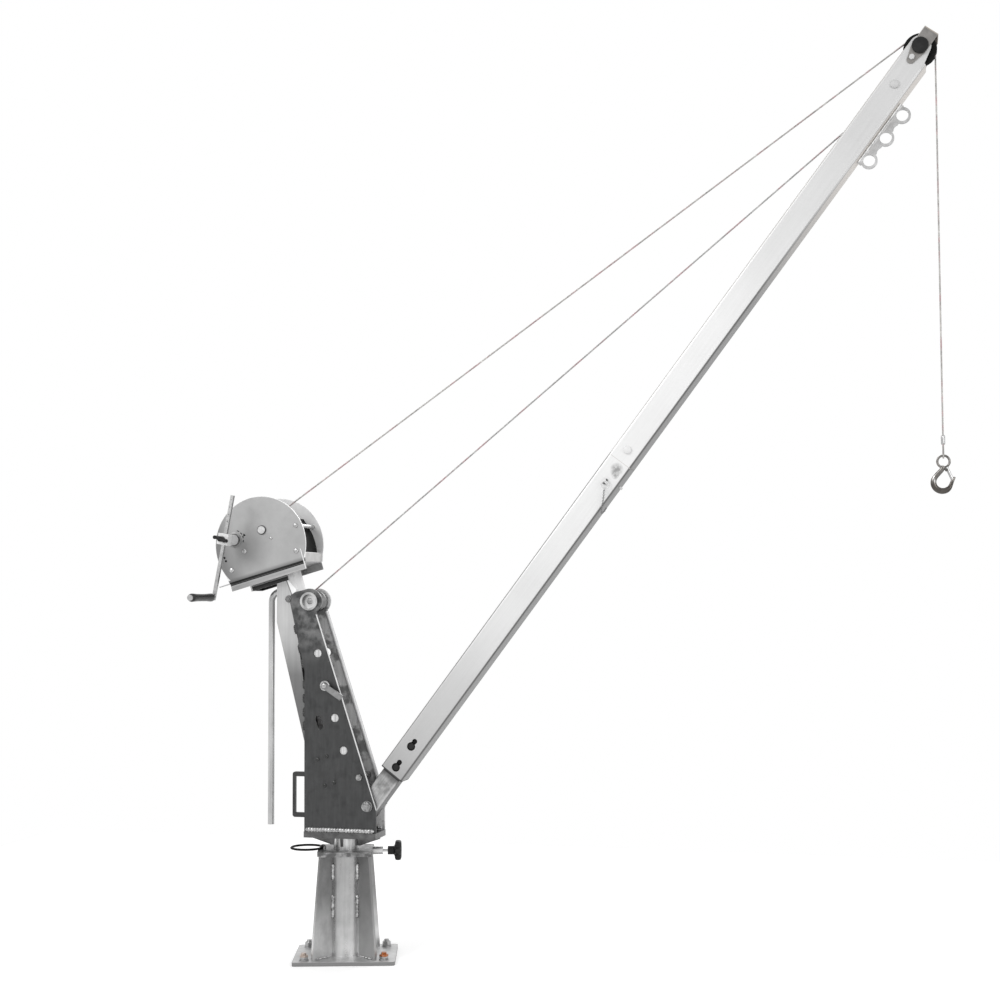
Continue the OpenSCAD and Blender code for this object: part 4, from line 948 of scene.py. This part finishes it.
# %% Rope loop and its ferrule
# (y, z) of one half of the loop, in millimetres from the rope's end.
half = [(2.6, -24), (4.2, -30), (7.2, -38), (8.1, -46), (7.9, -55.7), (5.8, -61.4), (0, -63.7)]
loop = smooth_line(half + [(-y, z) for y, z in half[-2::-1]], 64) * MM
loop_path = np.stack([0 * loop[:, 0] + FALL_X, loop[:, 0], FALL_Z + loop[:, 1]], -1)
piece("rope_eye", [rope(loop_path, ROPE, 0.03)], hoist_finish, "rope_end", ("rope_loop",))
sleeve = [(0, 0.0042), (0.002, 0.0056), (0.005, 0.006), (0.022, 0.006), (0.0255, 0.0056), (0.0275, 0.0042)]
piece("fall_ferrule", lathe((FALL_X, 0, FALL_Z + 0.001), -UP, sleeve), bright_steel, "rope_end")
tuple(fall_path[0])
float(fall_path[0][2] - fall_path[-1][2])

# %% [markdown]
# ## Welds
# Short welds hold the fins and plates. A real bead is a row of small frozen ripples, which
# catches the light. Each one is a tube whose radius swells once for every ripple.

# %% Welds of the foot
TUBE_R, FIN_SIDE = 59.15, 6.0
FINS = (45, 135, 225, 315)
root_x = math.sqrt(TUBE_R**2 - FIN_SIDE**2)
beads = []
for fin in FINS:
    for s in (-FIN_SIDE, FIN_SIDE):
        for low, high in ((240, 292), (126, 196)):
            beads.append(bead(in_foot(root_x, s, low, fin), in_foot(root_x, s, high, fin), 0.0058, 0.008))
        beads.append(bead(in_foot(75, s, 14, fin), in_foot(124, s, 14, fin), 0.0032))
piece("foot_weld_beads", beads, weld_steel, "foot", ("foot_welds",))


# %% Welds of the mast
def mast_back(z):
    """The mast's back edge at height z, in millimetres: almost upright, then leaning back to the winch."""
    return -120 - 0.8 * (z - 383) / 489 if z < 872 else -120.8 - 47.7 * (z - 872) / 208


beads, stitches = [], []
for s in SIDES:
    beads.append(bead(at(-116, 389, s * 44.6), at(106, 389, s * 44.6), 0.0086, 0.009))
    for z in (690, 732, 774, 816, 880, 925, 985):
        low, high = (at(mast_back(v) - 2.4, v, s * 40.4) for v in (z, z + 28))
        stitches.append(bead(low, high, 0.0048, 0.006))
piece("mast_weld_beads", beads, weld_steel, "mast", ("mast_welds",))
piece("mast_stitches", stitches, dull_steel, "mast")

# %% [markdown]
# ## Bolts and knobs
# The four anchors show a washer, a chamfered nut and a threaded end. The knobs are
# moulded, with rounded edges that a plain extrusion would not have.

# %% Anchors
washer = [(0, 0.0148), (0.0004, 0.015), (0.0026, 0.015), (0.003, 0.0146)]
anchors = []
for i in SIDES:
    for j in SIDES:
        spot = in_foot(i * BOLT_X, j * BOLT_Y, 0)
        anchors += [lathe(spot + 0.012 * UP, UP, washer),
                    nut(spot + 0.015 * UP, UP, 0.024, 0.013, 0.3 * i + 0.2 * j),
                    lathe(spot, UP, [(0, 0.0079), (0.0285, 0.0079)], 32),
                    stud(spot + 0.028 * UP, UP, 0.008, 0.006)]
piece("anchors", anchors, anchor_steel, "foot", ("anchor_bolts",))


# %% Star knob and grip
def scallops(angle, along):
    """Six finger hollows, only on the wide rim."""
    dip = ((1 - np.cos(6 * angle)) / 2) ** 1.5
    return 1 - 0.19 * dip * np.clip((along - 0.019) / 0.004, 0, 1)


knob = [(0, 0.0122), (0.001, 0.013), (0.018, 0.013), (0.0205, 0.0165), (0.0225, 0.027), (0.0245, 0.0305),
        (0.028, 0.0315), (0.036, 0.0315), (0.039, 0.0302), (0.0412, 0.027), (0.042, 0.022), (0.0415, 0.012),
        (0.041, 0.004)]
knob_spot = 0.128 * CLAMP_OUT + 0.322 * UP
piece("clamp_knob", lathe(knob_spot, CLAMP_OUT, knob, 96, scallops), black_plastic, "clamp", ("star_knob",))
ARM = math.radians(79.1)
ARM_LENGTH = 0.181
grip = [(0.1655, 0.0062), (0.166, 0.0098), (0.168, 0.0116), (0.172, 0.0124), (0.182, 0.0122), (0.205, 0.0112),
        (0.24, 0.0108), (0.275, 0.0112), (0.298, 0.0122), (0.308, 0.0125), (0.3125, 0.0116), (0.3145, 0.0098),
        (0.315, 0.0062)]
arm_end = CRANK - ARM_LENGTH * heading(ARM)
piece("hand_grip", lathe(arm_end, -Y, grip, 64), grip_plastic, "grip_body", ("grip",))

# %% [markdown]
# ## Turned pins, heads and nuts
# Every bolt on the crane runs straight across it, so each is a few short turned lengths on
# one line. A small chamfer on both ends keeps the edges from looking cut out of paper.


# %% Cross bolts
def pin(spot, near, far, radius, chamfer=0.0009):
    """A turned length across the crane at spot, from near to far in millimetres, with chamfered ends."""
    near, far = sorted((near, far))
    length, r = (far - near) * MM, radius * MM
    c = min(chamfer, 0.3 * length, 0.3 * r)
    return lathe(spot + near * MM * Y, Y, [(0, r - c), (c, r), (length - c, r), (length, r - c)], 48)


def dome(spot, near, radius, height, toward=-1):
    """A round bolt head at y near, bulging towards the viewer: a quarter of an oval turned round."""
    a = np.linspace(0, math.pi / 2, 9)
    rise, reach = height * MM * (0.35 + 0.65 * np.sin(a)), radius * MM * np.cos(a) * 0.995 + 1e-5
    return lathe(spot + near * MM * Y, toward * Y, [(0, radius * MM), *zip(rise, reach)], 48)


def hexagon(spot, near, far, across):
    """A nut across the crane at spot, from near to far in millimetres."""
    near, far = sorted((near, far))
    return nut(spot + near * MM * Y, Y, across * MM, (far - near) * MM, turn=0.2)


# %% Hardware of the mast
STOP = at(57.9, 550.7)
mast_parts = [pin(PIVOT, -57, 57, 10), pin(STOP, -52.5, 52.5, 6), pin(STOP, -38, 38, 11)]
for s in SIDES:
    mast_parts += [pin(PIVOT, s * 44, s * 47, 17), hexagon(PIVOT, s * 47, s * 56, 27),
                   hexagon(STOP, s * 44, s * 51, 18.2), pin(PIVOT, s * 31.3, s * 38, 20)]
piece("mast_hardware", mast_parts, nut_steel, "mast", ("mast_bolts",))
screws = []
for x, z in ((-76.9, 602.6), (-47.3, 612.7), (-53.6, 523.9), (-23.1, 533.8)):
    spot = at(x, z)
    screws += [pin(spot, -44, -34, 3), dome(spot, -44, 5.6, 3.6), hexagon(spot, -38, -33, 9.5)]
piece("small_screws", screws, dull_steel, "mast")
HOLE_STEP = 0.1025 * heading(math.radians(-74.1))
# The plugs are bright: painted light for the lit far plate seen through the holes.
plugs = [pin(LOCK + k * HOLE_STEP, -40.6, -38.4, 12.9, 0.0006) for k in (-1, 1, 2)]
piece("hole_plugs", plugs, plug_steel, "mast")
# A bright tube along the far plate's front edge: a painted highlight.
far_edge = line(at(114.5, 468, 35.2), at(-78.8, 1055, 35.2), 0.02)
piece("far_edge_trim", tube(far_edge, 0.0048, 20, 0.7), highlight_edge_steel, "mast")
spot = at(-175, 1093.5)
spine_nut = [pin(spot, -40, -34, 11.5), hexagon(spot, -47, -39.5, 17.5), pin(spot, -50, -46, 5)]
piece("spine_nut", spine_nut, roller_steel, "mast")

# %% Hardware of the boom
# The bolts in the keyholes take the black finish: painted shade in the keyholes.
key_parts = []
for s in (150, 230):
    spot = on_boom(s, 0)
    key_parts += [pin(spot, -34, 34, 6), hexagon(spot, -38, -31, 19), hexagon(spot, 31, 38, 19)]
piece("key_bolts", key_parts, black_plastic, "boom")
boom_parts = [lathe(on_boom(1233.3, -49.6), OFF, [(0, 0.003), (0.0008, 0.0035), (0.0096, 0.0035)], 32)]
for s in (1338, 2635):
    spot = on_boom(s, 0)
    boom_parts += [pin(spot, -41, 41, 8), dome(spot, -40, 12.5, 8.6), dome(spot, 40, 12.5, 8.6, 1)]
spot = on_boom(2723, 6)
for s in SIDES:
    boom_parts += [pin(spot, s * 32, s * 49, 5), hexagon(spot, s * 43, s * 50, 14.7)]
piece("boom_hardware", boom_parts, bolt_zinc, "boom", ("boom_bolts",))
caps = [pin(HEAD, -44, 44, 10)]
for s in SIDES:
    caps += [pin(HEAD, s * 43, s * 53, 23.5, 0.0022), pin(HEAD, s * 11, s * 36, 15)]
piece("head_caps", caps, black_plastic, "boom", ("sheave_axle",))

# %% [markdown]
# ## The winch's front
# The winch has a curved black guard before its drum and a thin plate below it. Both are bent
# sheet, so each is one ring of four corners carried along the bend. The arrow printed round
# the crank is four short arcs and a point, a hair thick, so that it is a shape and not a picture.


# %% Front guard and front plate
def sheet_path(path, thick, near, far):
    """A bent strip: the same ring of four corners, at two depths behind a path over the tray."""
    corners = ((0, near), (0, far), (thick, far), (thick, near))
    return surface([[on_tray(x - d, z, y) for d, y in corners] for x, z in path])


curved = smooth_line([(232, 172), (240, 147), (247.5, 121), (250.5, 92), (248, 58)], 10)
guard = sheet_path(curved, 3, -73.5, 73.5)
piece("front_guard", guard, black_paint, "mast", ("winch_front",), smooth=False)
outline = [(249, 25.2), (253, 25.2), (261, 50), (260, 52), (258, 52), (257, 50)]
front = surface([[on_tray(x, z, y) for x, z in outline] for y in (-73.6, 73.6)])
piece("front_plate", front, front_steel, "mast", smooth=False)
# A bright line on the front plate's fold: a painted highlight.
fold = line(on_tray(252.5, 64, -78.2), on_tray(254, 1, -78.2))
piece("front_fold", tube(fold, 0.0017, 12), highlight_edge_steel, "mast")


# %% Marks and flange round the crank
def sheet_arc(centre, inner, outer, first, last, near, far):
    """A curved strip: for each angle a ring of four corners at two radii and two depths."""
    rows = []
    for radius, y in ((inner, near), (outer, near), (outer, far), (inner, far)):
        rows.append(arc(centre, radius * MM, first, last, 8) + y * MM * Y)
    return surface(np.stack(rows, 1))


# Black discs in two holes of the near plate: painted shade in the holes.
holes = [pin(on_tray(x, z), -77.4, -75, 3.8) for x, z in ((3, 108), (5, 97))]
piece("small_holes", holes, black_paint, "mast")
lean = math.degrees(TRAY)
turn_marks = []
for first in (-30, -6, 18, 42):
    turn_marks.append(sheet_arc(CRANK, 29, 31.4, lean + first, lean + first + 15, -77.5, -76.6))
arrow = ((81, 154), (90, 155.5), (84.5, 163))
turn_marks.append(surface([[on_tray(x, z, y) for x, z in arrow] for y in (-77.5, -76.6)]))
piece("turn_marks", turn_marks, black_paint, "mast", smooth=False)
flange = tube(arc(CRANK - 0.0785 * Y, 0.0205, 0, 352.5, 48), 0.0028, 12, 0.5, closed=True)
piece("crank_flange", flange, tag_steel, "mast")

# %% Hardware of the winch
ties = []
for x, z in ((16, 64), (237, 62), (256, 138)):
    spot = on_tray(x, z)
    ties += [pin(spot, -74, 74, 7), pin(spot, -78, 78, 4), dome(spot, -77, 7.5, 4.2),
             hexagon(spot, 77, 83, 11.3)]
for x, z, end, radius, head, height in ((168, 123.2, -74, 2.5, 4.5, 3.0), (72.6, 108.9, -40, 4, 7.5, 4.2)):
    ties += [pin(on_tray(x, z), -79, end, radius), dome(on_tray(x, z), -77, head, height)]
piece("winch_hardware", ties, bright_steel, "mast", ("winch_ties",))
ends = [pin(AXLE, -84, 84, 12, 0.0014), pin(AXLE, -80, -77, 14.5), pin(AXLE, 77, 80, 14.5)]
piece("drum_axle_ends", ends, axle_steel, "mast", ("drum_axle",))
lock_parts = [pin(LOCK, -58, 56, 12.5, 0.0016), pin(LOCK, -58, -44.3, 15.5, 0.0012),
              pin(LOCK, -62.5, -58, 3.9), dome(LOCK, -62.4, 7, 2.6)]
piece("locking_pin", lock_parts, bright_steel, "lock_pin_body", ("lock_pin",))

# %% [markdown]
# ## The ring pin's chain
# The pin that holds the boom's two halves hangs on a light chain. Each link is an oval ring,
# turned a quarter from the last, set along the curve in which the chain hangs.


# %% Chain
def chain(curve, pitch, length, width, wire):
    """Oval links at equal steps along a curve, every second one turned a quarter."""
    steps = np.concatenate([[0], np.cumsum(np.linalg.norm(np.diff(curve, axis=0), axis=1))])
    places = np.linspace(0, steps[-1], int(steps[-1] / pitch) + 1)
    centres = np.stack([np.interp(places, steps, curve[:, k]) for k in range(3)], -1)
    across, over = carry(centres)
    ahead = np.cross(across, over)
    angle = np.linspace(0, 2 * math.pi, 14, endpoint=False)[:, None]
    links = []
    for k, centre in enumerate(centres):
        aside = across[k] if k % 2 else over[k]
        ring = centre + length / 2 * np.cos(angle) * ahead[k] + width / 2 * np.sin(angle) * aside
        links.append(tube(ring, wire, 6, closed=True))
    return links


# (x, y, z) along the curve, in millimetres from the ring pin's axis, 1 mm off its near end.
hang = [(0, -1.6, -26.8), (-4, 0, -60), (-11, 7, -92), (-5, 16, -91), (1, 24, -80)]
curve = on_boom(1224, 0, -51) + smooth_line(hang, 200) * MM
piece("pin_chain_links", chain(curve, 0.0046, 0.0068, 0.0044, 0.00065), roller_steel, "boom", ("pin_chain",))

# %% [markdown]
# ## The floor and the light
# A white sweep, lit softly. The floor adds a little glow of its own for the camera and for
# reflections only, so it reads as white paper while it still takes the crane's shadow.


# %% World and floor
WHITE = (1, 1, 1)
SOFT = 0.6
GLOW = 0.28
SIZE = 2.2


def seen_rays(tree):
    """1 for what the camera sees, straight, through glass or in a gloss; 0 for light on the object."""
    kinds = ("Is Camera Ray", "Is Transmission Ray", "Is Glossy Ray")
    camera_ray, glass_ray, glossy_ray = (add_node(tree, "LightPath", out=kind) for kind in kinds)
    return camera_ray.math("MAXIMUM", glass_ray).math("MAXIMUM", glossy_ray)


world = bpy.data.worlds.new("studio")
bpy.context.scene.world = world
world.use_nodes = True
world.node_tree.nodes.clear()
soft = add_node(world.node_tree, "Background", Color=WHITE, Strength=SOFT)
white = add_node(world.node_tree, "Background", Color=WHITE, Strength=1.0)
both = add_node(world.node_tree, "MixShader", i0=seen_rays(world.node_tree), i1=soft, i2=white)
fill(world.node_tree.nodes.new("ShaderNodeOutputWorld").inputs["Surface"], both)

paper = Finish("paper floor", 0.9)
paper.set("Base Color", (0.9, 0.9, 0.9))
glow = paper.node("Emission", Strength=seen_rays(paper.tree) * GLOW)
lit = paper.node("AddShader", i0=Val(paper.shader.outputs[0]), i1=glow)
fill(paper.tree.nodes["Material Output"].inputs["Surface"], lit)
floor = bpy.data.objects.new("floor", bpy.data.meshes.new("floor"))
corners = [(-SIZE, -SIZE, 0), (SIZE, -SIZE, 0), (SIZE, SIZE, 0), (-SIZE, SIZE, 0)]
floor.data.from_pydata(corners, [], [(0, 1, 2, 3)])
floor.data.materials.append(paper.material)
bpy.context.collection.objects.link(floor)


# %% Lamps
def lamp(name, spot, aim, size, power):
    """A large square lamp at spot, facing aim."""
    data = bpy.data.lights.new(name, "AREA")
    data.shape, data.size, data.energy = "SQUARE", size, power
    light = bpy.data.objects.new(name, data)
    bpy.context.collection.objects.link(light)
    back = np.asarray(spot, float) - np.asarray(aim, float)
    back /= np.linalg.norm(back)
    across = np.cross(UP, back)
    across /= np.linalg.norm(across)
    stand(light, across, np.cross(back, across), back, spot)


lamp("key", (-2.6, -4.2, 4.4), (0.5, 0, 1.3), 2.6, 130)
lamp("fill", (4.6, -3.4, 2.6), (0.5, 0, 1.3), 2.6, 60)
lamp("back", (0.8, 4.2, 4.0), (0.5, 0, 1.4), 2.6, 80)

# %% Last lines: view settings
bpy.context.scene.view_settings.view_transform = "Standard"
